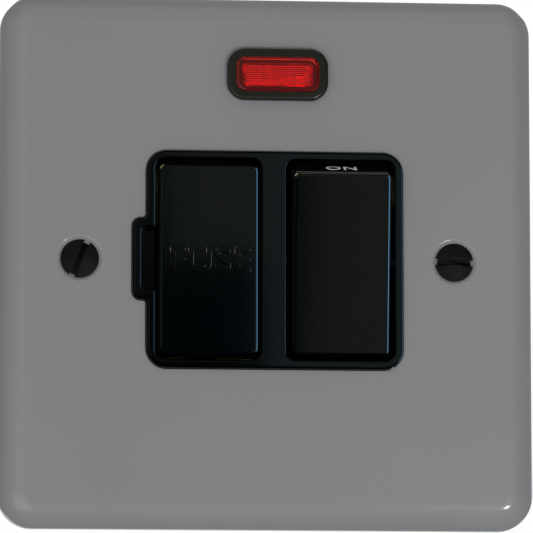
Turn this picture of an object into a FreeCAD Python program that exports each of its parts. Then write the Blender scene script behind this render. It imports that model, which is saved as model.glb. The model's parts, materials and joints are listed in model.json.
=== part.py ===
import FreeCAD
import Part
import math
import os

# Switched and fused connection unit for a one-gang wall box, rated 13 A.
# A pressed steel plate carries a moulded insert with a double-pole rocker, a pull-out
# fuse carrier and a neon. A moulded base behind the plate holds contacts and terminals.
#
# Frame: X to the right, Y into the wall, Z up, all in millimetres. The wall is the
# plane y = 0, and the origin lies midway between the two fixing screws.
# Names that end in RADIUS, HALF and the like say which measure they are; the rest of
# the lengths are full lengths.

V = FreeCAD.Vector
TINY = 0.001
SPARE = 2.0                     # how far a cutting tool runs past the face it opens

# Front plate
PLATE_SIDE = 86.0
PLATE_CORNER = 5.5
PLATE_ROLL = 4.2                # radius of the rolled edge
PLATE_SHEET = 1.2
PLATE_DEPTH = 6.0               # front face to wall
SINK_WALL = 0.96                # of the cone pressed round each fixing hole
FIXING_CENTRES = 60.3           # standard distance between the box's screw holes
MOUTH_ROUND = 0.5

# Fixing screws, M3.5 with raised countersunk heads
SCREW_SHANK_RADIUS = 1.75
SCREW_NECK_RADIUS = 1.52        # plain stretch under the head, as left by rolling the thread
SCREW_NECK_SPARE = 0.4          # how far the plain stretch runs past the plate
SCREW_HEAD_RADIUS = 3.1
SCREW_DOME = 0.7
SCREW_LENGTH = 25.0
SCREW_TIP_BEVEL = 0.45
SCREW_SLOT = 1.0
SCREW_SLOT_DEPTH = 1.1
LEFT_SLOT_TURN = 65.7           # degrees from level, as each screw was left
RIGHT_SLOT_TURN = -2.0
HOLE_ROOM = 0.35                # round the shank
MOUTH_ROOM = 0.5                # round the head
SEAT_GAP = 0.07

# Fuse, one inch by a quarter
FUSE_LENGTH = 25.4
FUSE_CAP_RADIUS = 3.175
FUSE_CAP_LENGTH = 6.0
FUSE_CAP_END = 0.75             # thickness of a cap's closed end
FUSE_CAP_ROUND = 0.53
FUSE_BODY_RADIUS = 2.9

# Fuse carrier
CARRIER_WIDTH = 16.2
CARRIER_THICK = 2.5
CARRIER_CORNER = 1.3
CARRIER_EDGE = 0.65
CARRIER_PROUD = 0.1             # in front of the insert's rim
CARRIER_TRAVEL = 12.6
CARRIER_SIDE_GAP = 0.43
CARRIER_END_GAP = 0.7
FUSE_SETBACK = 4.9              # carrier's back to fuse axis
FUSE_END_GAP = 0.3
ARM_THICK = 2.2
ARM_WIDTH = 12.0
ARM_INSET = 0.3
LUG_THICK = 1.5
LUG_WIDTH = 5.0
LUG_REACH = 1.4
LUG_STOP_GAP = 0.2              # left between the lugs and the plate when pulled out
SADDLE_WIDTH = 9.2
SADDLE_END_GAP = 0.5
SADDLE_GAP = 0.08
SADDLE_WRAP = 1.3               # how far the saddle reaches behind the fuse axis
BLADE_NOTCH_WIDTH = 9.0
BLADE_NOTCH_DEPTH = 0.9
BLADE_NOTCH_REACH = 1.07

# Rocker, measured from its pivot
ROCKER_TILT = 7.0               # degrees each side of level
ROCKER_SWING_RADIUS = 16.2      # of both curved ends
ROCKER_FACE = 7.2               # pivot to flat face
ROCKER_SKIRT = 3.3              # pivot to where the ends turn straight
ROCKER_BACK = 2.2
ROCKER_FACE_HALF_WIDTH = 7.85
ROCKER_BASE_HALF_WIDTH = 8.35
ROCKER_WALL = 1.5
ROCKER_CORNER = 1.0
ROCKER_EDGE = 0.7
ROCKER_SIDE_GAP = 0.42
ROCKER_END_GAP = 0.33
PIVOT_SETBACK = 1.7             # behind the insert's flange
STUB_RADIUS = 1.5
STUB_GAP = 0.05
STUB_END_GAP = 0.19
HUB_HALF_HEIGHT = 2.4
HUB_TAIL = 1.8
HUB_ROUND = 1.62
POLE_SPACING = 8.0
TUBE_RADIUS = 2.2
TUBE_TAIL = 4.0
TUBE_BORE_RADIUS = 1.35
TUBE_BORE_HEAD = 3.5
PLUNGER_RADIUS = 1.25
PLUNGER_HEAD = 1.5              # pivot to the end that the spring pushes
PLUNGER_CONTACT_GAP = 0.2
SPRING_RADIUS = 0.9
SPRING_WIRE_RADIUS = 0.2
SPRING_TURNS = 6
SPRING_END_GAP = 0.03

# Contact bars, measured from the edge that they rock on
BAR_THROW = 11.0                # degrees each side of level
BAR_WIDTH = 3.8
BAR_THICK = 0.8
BAR_HALF_LENGTH = 8.6
CHEEK_THICK = 0.4
CHEEK_HALF_LENGTH = 3.2
CHEEK_RISE = 0.8
BUTTON_RADIUS = 1.3
BUTTON_THICK = 0.5
BUTTON_REACH = 7.2
BAR_AHEAD_OF_STRAP = 4.0

# Insert
RIM_LEFT = 1.45
RIM_RIGHT = 1.37
RIM_END = 1.4
MULLION = 3.93
INSERT_PROUD = 0.8
INSERT_CORNER = 3.3
INSERT_EDGE = 0.5
OPENING_CORNER = 1.5
OPENING_EDGE = 0.35
APERTURE_GAP = 0.1
EAR_REACH = 2.25
EAR_HEIGHT = 13.3
EAR_CORNER = 1.4
EAR_ROOT = 0.6
EAR_WALL = 1.5
EAR_FLOOR = 1.0
EAR_POCKET_CORNER = 0.8
FLANGE_THICK = 1.8
SWING_ROOM = 0.7                # behind the rim, for the swinging ends and the lugs
LUG_SIDE_ROOM = 0.3
BEARING_SKIRT = 1.04
BEARING_SKIRT_HALF_HEIGHT = 12.0
BEARING_SKIRT_LEAN = 4.0
BEARING_SKIRT_TAIL = 2.5        # behind the pivot
GUIDE_SKIRT = 0.9
GUIDE_SKIRT_TAIL = 5.0          # behind the flange

# Base
BASE_CORNER = 2.0
BASE_SIDE_WALL = 1.8
BASE_FLOOR = 2.0
BASE_EDGE = 0.8
CHAMBER_SIDE_ROOM = 0.9
CHAMBER_END_ROOM = 0.2
PARTITION = 1.6
PARTITION_GAP = 0.14
END_WALL = 1.4
BARRIER_THICK = 1.0
BARRIER_HALF_LENGTH = 10.0
BARRIER_FRONT_GAP = 2.3         # behind the rocker's tubes
BASE_NOTCH_GAP = 0.5

# Straps, terminals and pillars
STRAP_THICK = 0.8
STRAP_WIDTH = 3.0
STRAP_BEHIND_ARM = 2.2
CLIP_GAP = 0.15
CLIP_LEAF = 0.6
CLIP_LENGTH = 4.5
CLIP_LEG = 2.1                  # fuse axis to where a leg starts to flare
CLIP_FLARE = 1.6
CLIP_SPREAD = 0.53              # sideways, over the flare
CLIP_BEND = 0.84                # outer radius of its bends
CLIP_POST_WIDTH = 2.4
CLIP_SEAT_GAP = 0.2
RIVET_RADIUS = 1.5
RIVET_GAP = 0.12
LINK_DROP = 2.7                 # rivet to the run that leads to the fuse
FULCRUM_THICK = 1.0
FULCRUM_WIDTH = 3.4
FULCRUM_ROUND = 0.45
FULCRUM_GAP = 0.15
EYE_RADIUS = 3.2
TERMINAL_X = 18.0
TERMINAL_WIDTH = 7.6
TERMINAL_LENGTH = 6.6
TERMINAL_DEPTH = 8.7
TERMINAL_EDGE = 0.4
TERMINAL_GAP = 0.1
TERMINAL_OUTER_GAP = 0.4
WIRE_BORE_RADIUS = 2.1
WIRE_BORE_WALL = 0.8
CLAMP_SHANK_RADIUS = 1.75
CLAMP_HEAD_RADIUS = 2.9
CLAMP_HEAD_THICK = 1.5
CLAMP_HEAD_EDGE = 0.38
CLAMP_SLOT = 0.9
CLAMP_SLOT_DEPTH = 0.75
CLAMP_ROOM = 0.1
EARTH_X = 6.5
EARTH_BRIDGE = 1.7
PILLAR_RADIUS = 2.4
PILLAR_GAP = 0.2
PILLAR_BORE_DEPTH = 7.0
PILLAR_THREAD_GAP = 0.05
PILLAR_SCREW_RADIUS = 1.45
PILLAR_SCREW_HEAD_RADIUS = 2.8
PILLAR_SCREW_HEAD_THICK = 1.6
PILLAR_SCREW_HEAD_ROUND = 0.8
PILLAR_SCREW_SLOT_DEPTH = 0.8
PILLAR_SCREW_LENGTH = 6.5
BOSS_WALL = 1.4

# Neon
NEON_X = 1.55
NEON_ABOVE_BASE = 0.57
BEZEL_WIDTH = 16.3
BEZEL_HEIGHT = 8.4
BEZEL_CORNER = 2.9
BEZEL_PROUD = 1.3
BEZEL_EDGE = 0.5
BEZEL_LIP = 0.7                 # lip past the neck that fills the plate's aperture
BEZEL_NECK_GAP = 0.05
BEZEL_CATCH = 0.4
BEZEL_CATCH_THICK = 1.0
LENS_WIDTH = 13.2
LENS_HEIGHT = 5.6
LENS_CORNER = 1.5
LENS_PROUD = 0.2                # in front of the bezel
LENS_DEPTH = 12.0
LENS_WALL = 0.9
LENS_FRONT = 1.2                # thickness of its front, with the flutes inside
LENS_EDGE = 0.4
LENS_GAP = 0.05
LENS_COLLAR = 0.4
LENS_COLLAR_THICK = 0.8
LENS_FLUTES = 12
FLUTE_DEPTH = 0.14
LAMP_RADIUS = 1.75
LAMP_LENGTH = 10.0
LAMP_ROUND = 0.88
LAMP_SETBACK = 4.1              # lens's inner face to lamp axis
RESISTOR_RADIUS = 1.2
RESISTOR_LENGTH = 7.0
RESISTOR_ROUND = 0.4
RESISTOR_SETBACK = 3.7          # lamp axis to resistor axis
LEG_RADIUS = 0.25
PLUG_THICK = 1.5
PLUG_SPIGOT = 1.2
LEAD_RADIUS = 0.65
LEAD_SPREAD = 6.0
LEAD_X = 11.7
LEAD_STRAP_GAP = 0.05
LEAD_NOTCH_GAP = 0.2
LEAD_FIRST_BEND = 4.0
LEAD_SECOND_BEND = 6.0

# Depths, worked out from front to back
FACE_Y = -PLATE_DEPTH
BACK_Y = FACE_Y + PLATE_SHEET
INSERT_FRONT_Y = FACE_Y - INSERT_PROUD
FLANGE_BACK_Y = BACK_Y + FLANGE_THICK
PIVOT_Y = FLANGE_BACK_Y + PIVOT_SETBACK
CARRIER_FRONT_Y = INSERT_FRONT_Y - CARRIER_PROUD
CARRIER_BACK_Y = CARRIER_FRONT_Y + CARRIER_THICK
FUSE_Y = CARRIER_BACK_Y + FUSE_SETBACK
LUG_FRONT_Y = BACK_Y + LUG_STOP_GAP + CARRIER_TRAVEL
ARM_END_Y = LUG_FRONT_Y + LUG_THICK
STRAP_FRONT_Y = ARM_END_Y + STRAP_BEHIND_ARM
STRAP_BACK_Y = STRAP_FRONT_Y + STRAP_THICK
BASE_BACK_Y = STRAP_BACK_Y + BASE_FLOOR
BAR_Y = STRAP_FRONT_Y - BAR_AHEAD_OF_STRAP
TERMINAL_FRONT_Y = STRAP_FRONT_Y - TERMINAL_DEPTH
WIRE_Y = TERMINAL_FRONT_Y + WIRE_BORE_WALL + WIRE_BORE_RADIUS
PILLAR_END_Y = STRAP_FRONT_Y - EARTH_BRIDGE
LEAD_Y = STRAP_FRONT_Y - LEAD_STRAP_GAP - LEAD_RADIUS

# Heights, worked out from the centre
ARM_INNER_Z = FUSE_LENGTH / 2 + FUSE_END_GAP
ARM_OUTER_Z = ARM_INNER_Z + ARM_THICK
SADDLE_HALF_LENGTH = FUSE_LENGTH / 2 - FUSE_CAP_LENGTH - SADDLE_END_GAP
CARRIER_HALF_HEIGHT = ARM_OUTER_Z + ARM_INSET
FUSE_OPENING_HALF_HEIGHT = CARRIER_HALF_HEIGHT + CARRIER_END_GAP
RIM_FORWARD = PIVOT_Y - BACK_Y
ROCKER_OPENING_HALF_HEIGHT = math.sqrt(ROCKER_SWING_RADIUS**2 - RIM_FORWARD**2) + ROCKER_END_GAP
INSERT_HALF_HEIGHT = max(FUSE_OPENING_HALF_HEIGHT, ROCKER_OPENING_HALF_HEIGHT) + RIM_END
LUG_TIP_Z = ARM_OUTER_Z + LUG_REACH
LUG_ROOM_Z = LUG_TIP_Z + LUG_SIDE_ROOM
RELIEF_HALF_HEIGHT = ROCKER_SWING_RADIUS + SWING_ROOM
CHAMBER_HALF_HEIGHT = max(LUG_ROOM_Z, RELIEF_HALF_HEIGHT) + CHAMBER_END_ROOM
POCKET_NEAR_Z = CHAMBER_HALF_HEIGHT + END_WALL
TERMINAL_Z = POCKET_NEAR_Z + TERMINAL_GAP + TERMINAL_LENGTH / 2
BASE_HALF_HEIGHT = TERMINAL_Z + TERMINAL_LENGTH / 2 + TERMINAL_OUTER_GAP
PILLAR_Z = TERMINAL_Z
NEON_Z = BASE_HALF_HEIGHT + NEON_ABOVE_BASE + BEZEL_HEIGHT / 2 - BEZEL_LIP + BEZEL_CATCH

# Places across, worked out from left to right
FUSE_OPENING_WIDTH = CARRIER_WIDTH + 2 * CARRIER_SIDE_GAP
ROCKER_OPENING_WIDTH = 2 * (ROCKER_BASE_HALF_WIDTH + ROCKER_SIDE_GAP)
INSERT_WIDTH = RIM_LEFT + FUSE_OPENING_WIDTH + MULLION + ROCKER_OPENING_WIDTH + RIM_RIGHT
EAR_LEFT_X = -(INSERT_WIDTH + EAR_REACH) / 2
INSERT_LEFT_X = EAR_LEFT_X + EAR_REACH
INSERT_RIGHT_X = INSERT_LEFT_X + INSERT_WIDTH
FUSE_LEFT_X = INSERT_LEFT_X + RIM_LEFT
FUSE_RIGHT_X = FUSE_LEFT_X + FUSE_OPENING_WIDTH
FUSE_X = (FUSE_LEFT_X + FUSE_RIGHT_X) / 2
ROCKER_LEFT_X = FUSE_RIGHT_X + MULLION
ROCKER_RIGHT_X = ROCKER_LEFT_X + ROCKER_OPENING_WIDTH
ROCKER_X = (ROCKER_LEFT_X + ROCKER_RIGHT_X) / 2
LIVE_X = ROCKER_X - POLE_SPACING / 2
NEUTRAL_X = ROCKER_X + POLE_SPACING / 2
CHAMBER_HALF_WIDTH = INSERT_RIGHT_X + CHAMBER_SIDE_ROOM
BASE_HALF_WIDTH = CHAMBER_HALF_WIDTH + BASE_SIDE_WALL
PARTITION_LEFT_X = FUSE_RIGHT_X + GUIDE_SKIRT + PARTITION_GAP
PARTITION_RIGHT_X = PARTITION_LEFT_X + PARTITION

# Radii and reaches that follow from the fits
FIXING_HOLE_RADIUS = SCREW_SHANK_RADIUS + HOLE_ROOM
MOUTH_RADIUS = SCREW_HEAD_RADIUS + MOUTH_ROOM
SINK_BACK_Y = FACE_Y + MOUTH_RADIUS - FIXING_HOLE_RADIUS
SINK_END_Y = SINK_BACK_Y + SINK_WALL
PILLAR_HOLE_RADIUS = PILLAR_RADIUS + PILLAR_GAP
BOSS_RADIUS = PILLAR_HOLE_RADIUS + BOSS_WALL
CLAMP_HOLE_RADIUS = CLAMP_SHANK_RADIUS + CLAMP_ROOM
PILLAR_SCREW_HOLE_RADIUS = PILLAR_SCREW_RADIUS + PILLAR_GAP
STUB_END = ROCKER_BASE_HALF_WIDTH + ROCKER_SIDE_GAP + BEARING_SKIRT - STUB_END_GAP
PLUNGER_TIP = BAR_Y - BAR_THICK - PLUNGER_CONTACT_GAP - PIVOT_Y
NECK_WIDTH = BEZEL_WIDTH - 2 * BEZEL_LIP
NECK_HEIGHT = BEZEL_HEIGHT - 2 * BEZEL_LIP
NECK_CORNER = BEZEL_CORNER - BEZEL_LIP
BEZEL_FRONT_Y = FACE_Y - BEZEL_PROUD
CATCH_BACK_Y = BACK_Y + BEZEL_CATCH_THICK
LENS_FRONT_Y = BEZEL_FRONT_Y - LENS_PROUD
LENS_BACK_Y = LENS_FRONT_Y + LENS_DEPTH
LENS_INNER_Y = LENS_FRONT_Y + LENS_FRONT
LAMP_Y = LENS_INNER_Y + LAMP_SETBACK
RESISTOR_Y = LAMP_Y + RESISTOR_SETBACK
PLUG_BACK_Y = LENS_BACK_Y + PLUG_THICK
SPIGOT_Y = LENS_BACK_Y - PLUG_SPIGOT


def block(x0, x1, y0, y1, z0, z1):
    return Part.makeBox(x1 - x0, y1 - y0, z1 - z0, V(x0, y0, z0))


def rod(radius, y0, y1, x=0.0, z=0.0):
    """Round bar along Y."""
    return Part.makeCylinder(radius, y1 - y0, V(x, y0, z), V(0, 1, 0))


def axle(radius, x0, x1, y, z=0.0):
    """Round bar along X."""
    return Part.makeCylinder(radius, x1 - x0, V(x0, y, z), V(1, 0, 0))


def cone(radius0, radius1, y0, y1, x=0.0, z=0.0):
    return Part.makeCone(radius0, radius1, y1 - y0, V(x, y0, z), V(0, 1, 0))


def joined(pieces):
    return pieces[0].fuse(pieces[1:]).removeSplitter()


def path(points, radii, closed):
    """Straight runs through the points, with a tangent arc at each point that has a radius."""
    count = len(points)
    corners = []
    for index, point in enumerate(points):
        radius = radii[index]
        if radius == 0:
            corners.append((point, None, point))
            continue
        back = (points[index - 1] - point).normalize()
        ahead = (points[(index + 1) % count] - point).normalize()
        half_angle = back.getAngle(ahead) / 2
        reach = radius / math.tan(half_angle)
        crown = point + (back + ahead).normalize() * (radius / math.sin(half_angle) - radius)
        corners.append((point + back * reach, crown, point + ahead * reach))
    edges = []
    for index, (start, crown, end) in enumerate(corners):
        if crown is not None:
            edges.append(Part.Arc(start, crown, end).toShape())
        following = corners[(index + 1) % count][0]
        last = index + 1 == count
        if (closed or not last) and end.distanceToPoint(following) > TINY:
            edges.append(Part.LineSegment(end, following).toShape())
    return Part.Wire(edges)


def face_through(points, radii):
    if not isinstance(radii, list):
        radii = [radii] * len(points)
    return Part.Face(path(points, radii, True))


def slab_y(points, radii, y0, y1):
    """Outline of (x, z) corners, pushed along Y."""
    return face_through([V(x, y0, z) for x, z in points], radii).extrude(V(0, y1 - y0, 0))


def slab_x(points, radii, x0, x1):
    """Outline of (y, z) corners, pushed along X."""
    return face_through([V(x0, y, z) for y, z in points], radii).extrude(V(x1 - x0, 0, 0))


def slab_z(points, radii, z0, z1):
    """Outline of (x, y) corners, pushed along Z."""
    return face_through([V(x, y, z0) for x, y in points], radii).extrude(V(0, 0, z1 - z0))


def rectangle(half_width, half_height, x=0.0, z=0.0):
    right = x + half_width
    left = x - half_width
    top = z + half_height
    bottom = z - half_height
    return [(right, bottom), (right, top), (left, top), (left, bottom)]


def rounded_slab(half_width, half_height, corner, y0, y1, x=0.0, z=0.0):
    return slab_y(rectangle(half_width, half_height, x, z), corner, y0, y1)


def edges_at(shape, y):
    """Edges that lie flat in the upright plane at this depth."""
    return [
        edge for edge in shape.Edges
        if abs(edge.BoundBox.YMin - y) < TINY and abs(edge.BoundBox.YMax - y) < TINY
    ]


def edges_inside(edges, x0, x1, z0, z1):
    """Those of the edges that lie within this rectangle, seen from the front."""
    chosen = []
    for edge in edges:
        bounds = edge.BoundBox
        across = x0 - TINY < bounds.XMin and bounds.XMax < x1 + TINY
        if across and z0 - TINY < bounds.ZMin and bounds.ZMax < z1 + TINY:
            chosen.append(edge)
    return chosen


def insert_outline(grow):
    """Corners and corner radii of the insert with its ear, all grown by a clearance."""
    left = INSERT_LEFT_X - grow
    right = INSERT_RIGHT_X + grow
    top = INSERT_HALF_HEIGHT + grow
    ear_left = EAR_LEFT_X - grow
    ear_top = EAR_HEIGHT / 2 + grow
    points = [
        (right, -top), (right, top), (left, top), (left, ear_top),
        (ear_left, ear_top), (ear_left, -ear_top), (left, -ear_top), (left, -top),
    ]
    corner = INSERT_CORNER + grow
    ear_corner = EAR_CORNER + grow
    ear_root = EAR_ROOT - grow
    radii = [corner, corner, corner, ear_root, ear_corner, ear_corner, ear_root, corner]
    return points, radii


def front_plate():
    half = PLATE_SIDE / 2
    skin = rounded_slab(half, half, PLATE_CORNER, FACE_Y, 0)
    skin = skin.makeFillet(PLATE_ROLL, edges_at(skin, FACE_Y))
    inner_half = half - PLATE_SHEET
    hollow = rounded_slab(inner_half, inner_half, PLATE_CORNER - PLATE_SHEET, BACK_Y, SPARE)
    hollow = hollow.makeFillet(PLATE_ROLL - PLATE_SHEET, edges_at(hollow, BACK_Y))
    plate = skin.cut(hollow)
    for x in (-FIXING_CENTRES / 2, FIXING_CENTRES / 2):
        plate = pressed_screw_hole(plate, x)
    points, radii = insert_outline(APERTURE_GAP)
    insert_aperture = slab_y(points, radii, FACE_Y - SPARE, BACK_Y + SPARE)
    neon_aperture = rounded_slab(
        NECK_WIDTH / 2 + BEZEL_NECK_GAP, NECK_HEIGHT / 2 + BEZEL_NECK_GAP, NECK_CORNER + BEZEL_NECK_GAP,
        FACE_Y - SPARE, BACK_Y + SPARE, NEON_X, NEON_Z)
    return plate.cut([insert_aperture, neon_aperture])


def pressed_screw_hole(plate, x):
    """Countersink with a rounded mouth, pressed so that its back stands out as a cone."""
    end_radius = FIXING_HOLE_RADIUS + SINK_WALL
    root_radius = end_radius + SINK_END_Y - BACK_Y
    plate = plate.fuse(cone(root_radius, end_radius, BACK_Y, SINK_END_Y, x))
    plate = plate.cut([
        cone(MOUTH_RADIUS, FIXING_HOLE_RADIUS, FACE_Y, SINK_BACK_Y, x),
        rod(FIXING_HOLE_RADIUS, FACE_Y, SINK_END_Y + SPARE, x),
    ])
    around = MOUTH_RADIUS + TINY
    mouth = edges_inside(edges_at(plate, FACE_Y), x - around, x + around, -around, around)
    return plate.makeFillet(MOUTH_ROUND, mouth)


def fixing_screw(x, slot_turn):
    rim_y = FACE_Y + MOUTH_ROOM - SEAT_GAP
    neck_y = rim_y + SCREW_HEAD_RADIUS - SCREW_NECK_RADIUS
    thread_y = SINK_END_Y + SCREW_NECK_SPARE
    tip_y = rim_y + SCREW_LENGTH
    top_y = rim_y - SCREW_DOME
    dome_radius = (SCREW_HEAD_RADIUS**2 + SCREW_DOME**2) / (2 * SCREW_DOME)
    dome = Part.makeSphere(dome_radius, V(x, top_y + dome_radius, 0))
    dome = dome.common(rod(SCREW_HEAD_RADIUS, top_y - SPARE, rim_y, x))
    bevel_y = tip_y - SCREW_TIP_BEVEL
    screw = joined([
        dome,
        cone(SCREW_HEAD_RADIUS, SCREW_NECK_RADIUS, rim_y, neck_y, x),
        rod(SCREW_NECK_RADIUS, neck_y, thread_y, x),
        rod(SCREW_SHANK_RADIUS, thread_y, bevel_y, x),
        cone(SCREW_SHANK_RADIUS, SCREW_SHANK_RADIUS - SCREW_TIP_BEVEL, bevel_y, tip_y, x),
    ])
    reach = SCREW_HEAD_RADIUS + SPARE
    slot = block(x - reach, x + reach, top_y - SPARE, top_y + SCREW_SLOT_DEPTH,
                 -SCREW_SLOT / 2, SCREW_SLOT / 2)
    slot.rotate(V(x, 0, 0), V(0, -1, 0), slot_turn)
    return screw.cut(slot)


def left_fixing_screw():
    return fixing_screw(-FIXING_CENTRES / 2, LEFT_SLOT_TURN)


def right_fixing_screw():
    return fixing_screw(FIXING_CENTRES / 2, RIGHT_SLOT_TURN)


def insert_frame():
    points, radii = insert_outline(0)
    neck = slab_y(points, radii, INSERT_FRONT_Y, FLANGE_BACK_Y)
    neck = neck.makeFillet(INSERT_EDGE, edges_at(neck, INSERT_FRONT_Y))
    flange = rounded_slab(BASE_HALF_WIDTH, BASE_HALF_HEIGHT, BASE_CORNER, BACK_Y, FLANGE_BACK_Y)
    solid = neck.fuse([flange] + guide_skirts() + bearing_skirts())
    fuse_opening = rounded_slab(
        FUSE_OPENING_WIDTH / 2, FUSE_OPENING_HALF_HEIGHT, OPENING_CORNER,
        INSERT_FRONT_Y - SPARE, FLANGE_BACK_Y + SPARE, FUSE_X)
    rocker_opening = rounded_slab(
        ROCKER_OPENING_WIDTH / 2, ROCKER_OPENING_HALF_HEIGHT, OPENING_CORNER,
        INSERT_FRONT_Y - SPARE, FLANGE_BACK_Y + SPARE, ROCKER_X)
    swing_relief = block(
        ROCKER_LEFT_X, ROCKER_RIGHT_X, BACK_Y, FLANGE_BACK_Y + SPARE,
        -RELIEF_HALF_HEIGHT, RELIEF_HALF_HEIGHT)
    lug_half_width = LUG_WIDTH / 2 + LUG_SIDE_ROOM
    lug_channels = block(
        FUSE_X - lug_half_width, FUSE_X + lug_half_width, BACK_Y, FLANGE_BACK_Y + SPARE,
        -LUG_ROOM_Z, LUG_ROOM_Z)
    pocket_left_x = EAR_LEFT_X + EAR_WALL
    pocket_half_height = EAR_HEIGHT / 2 - EAR_WALL
    ear_pocket = rounded_slab(
        (FUSE_X - pocket_left_x) / 2, pocket_half_height, EAR_POCKET_CORNER,
        INSERT_FRONT_Y - SPARE, FLANGE_BACK_Y - EAR_FLOOR, (FUSE_X + pocket_left_x) / 2)
    pillar_holes = [
        rod(PILLAR_HOLE_RADIUS, BACK_Y - SPARE, FLANGE_BACK_Y + SPARE, 0, z)
        for z in (-PILLAR_Z, PILLAR_Z)
    ]
    bearing = axle(STUB_RADIUS + STUB_GAP, ROCKER_LEFT_X - BEARING_SKIRT,
                   ROCKER_RIGHT_X + BEARING_SKIRT, PIVOT_Y)
    frame = solid.cut(
        [fuse_opening, rocker_opening, swing_relief, lug_channels, ear_pocket, bearing]
        + pillar_holes).removeSplitter()
    front = edges_at(frame, INSERT_FRONT_Y)
    rims = edges_inside(front, pocket_left_x, FUSE_RIGHT_X,
                        -FUSE_OPENING_HALF_HEIGHT, FUSE_OPENING_HALF_HEIGHT)
    rims += edges_inside(front, ROCKER_LEFT_X, ROCKER_RIGHT_X,
                         -ROCKER_OPENING_HALF_HEIGHT, ROCKER_OPENING_HALF_HEIGHT)
    return frame.makeFillet(OPENING_EDGE, rims)


def guide_skirts():
    """Two walls behind the insert that the fuse carrier slides between."""
    end_y = FLANGE_BACK_Y + GUIDE_SKIRT_TAIL
    return [
        block(x, x + GUIDE_SKIRT, BACK_Y, end_y, -FUSE_OPENING_HALF_HEIGHT, FUSE_OPENING_HALF_HEIGHT)
        for x in (FUSE_LEFT_X - GUIDE_SKIRT, FUSE_RIGHT_X)
    ]


def bearing_skirts():
    """Two walls behind the insert, with the holes that the rocker's stubs turn in."""
    end_y = PIVOT_Y + BEARING_SKIRT_TAIL
    half = BEARING_SKIRT_HALF_HEIGHT
    end_half = half - BEARING_SKIRT_LEAN
    outline = [(BACK_Y, -half), (BACK_Y, half), (end_y, end_half), (end_y, -end_half)]
    return [
        slab_x(outline, 0, x, x + BEARING_SKIRT)
        for x in (ROCKER_LEFT_X - BEARING_SKIRT, ROCKER_RIGHT_X)
    ]


def rocker_body(inset, back):
    """Block between the face, the two curved ends and the leaning sides, inset by a wall."""
    swing = ROCKER_SWING_RADIUS - inset
    face = ROCKER_FACE - inset

    def end_point(forward, side):
        return V(0, PIVOT_Y - forward, side * math.sqrt(swing**2 - forward**2))

    def end_arc(side):
        middle = swing * math.sin((math.asin(face / swing) + math.asin(ROCKER_SKIRT / swing)) / 2)
        return Part.Arc(end_point(face, side), end_point(middle, side), end_point(ROCKER_SKIRT, side))

    back_y = PIVOT_Y - back
    skirt_z = end_point(ROCKER_SKIRT, 1).z
    corners = [
        end_point(ROCKER_SKIRT, 1), V(0, back_y, skirt_z),
        V(0, back_y, -skirt_z), end_point(ROCKER_SKIRT, -1),
    ]
    edges = [Part.LineSegment(end_point(face, -1), end_point(face, 1)).toShape(), end_arc(1).toShape()]
    edges += [Part.LineSegment(corners[i], corners[i + 1]).toShape() for i in range(3)]
    edges.append(end_arc(-1).toShape())
    reach = ROCKER_BASE_HALF_WIDTH
    profile = Part.Face(Part.Wire(Part.sortEdges(edges)[0]))
    profile.translate(V(ROCKER_X - reach, 0, 0))
    lengthwise = profile.extrude(V(2 * reach, 0, 0))

    lean = (ROCKER_BASE_HALF_WIDTH - ROCKER_FACE_HALF_WIDTH) / (ROCKER_FACE - ROCKER_BACK)
    front_half = ROCKER_FACE_HALF_WIDTH - inset + lean * inset
    back_half = ROCKER_BASE_HALF_WIDTH - inset + lean * (ROCKER_BACK - back)
    across = [
        (ROCKER_X - front_half, PIVOT_Y - face), (ROCKER_X + front_half, PIVOT_Y - face),
        (ROCKER_X + back_half, back_y), (ROCKER_X - back_half, back_y),
    ]
    return lengthwise.common(slab_z(across, 0, -swing, swing))


def rocker():
    shell = rocker_body(0, ROCKER_BACK)
    sides = [
        edge for edge in shell.Edges
        if edge.BoundBox.XLength < ROCKER_WALL
        and abs(edge.CenterOfMass.z) > ROCKER_SWING_RADIUS / 2
        and edge.BoundBox.YLength > TINY
    ]
    shell = shell.makeFillet(ROCKER_CORNER, sides)
    shell = shell.makeFillet(ROCKER_EDGE, edges_at(shell, PIVOT_Y - ROCKER_FACE))
    shell = shell.cut(rocker_body(ROCKER_WALL, ROCKER_BACK - SPARE))
    inner_face_y = PIVOT_Y - ROCKER_FACE + ROCKER_WALL
    back_y = PIVOT_Y - ROCKER_BACK
    hub_end_y = PIVOT_Y + HUB_TAIL
    inner_half = ROCKER_FACE_HALF_WIDTH - ROCKER_WALL / 2
    hub_half = HUB_HALF_HEIGHT
    hub_tail = [(back_y, -hub_half), (back_y, hub_half), (hub_end_y, hub_half), (hub_end_y, -hub_half)]
    pieces = [
        shell,
        block(ROCKER_X - inner_half, ROCKER_X + inner_half,
              inner_face_y - ROCKER_WALL / 2, back_y, -hub_half, hub_half),
        slab_x(hub_tail, [0, 0, HUB_ROUND, HUB_ROUND],
               ROCKER_X - ROCKER_BASE_HALF_WIDTH, ROCKER_X + ROCKER_BASE_HALF_WIDTH),
        axle(STUB_RADIUS, ROCKER_X - STUB_END, ROCKER_X + STUB_END, PIVOT_Y),
    ]
    bores = []
    for x in (LIVE_X, NEUTRAL_X):
        pieces.append(rod(TUBE_RADIUS, inner_face_y - ROCKER_WALL / 2, PIVOT_Y + TUBE_TAIL, x))
        bores.append(rod(TUBE_BORE_RADIUS, PIVOT_Y - TUBE_BORE_HEAD, PIVOT_Y + TUBE_TAIL + SPARE, x))
    return tilted(joined(pieces).cut(bores))


def tilted(shape):
    """Turned with the rocker, which stands with its top forward when it is on."""
    shape.rotate(V(ROCKER_X, PIVOT_Y, 0), V(1, 0, 0), ROCKER_TILT)
    return shape


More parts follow.
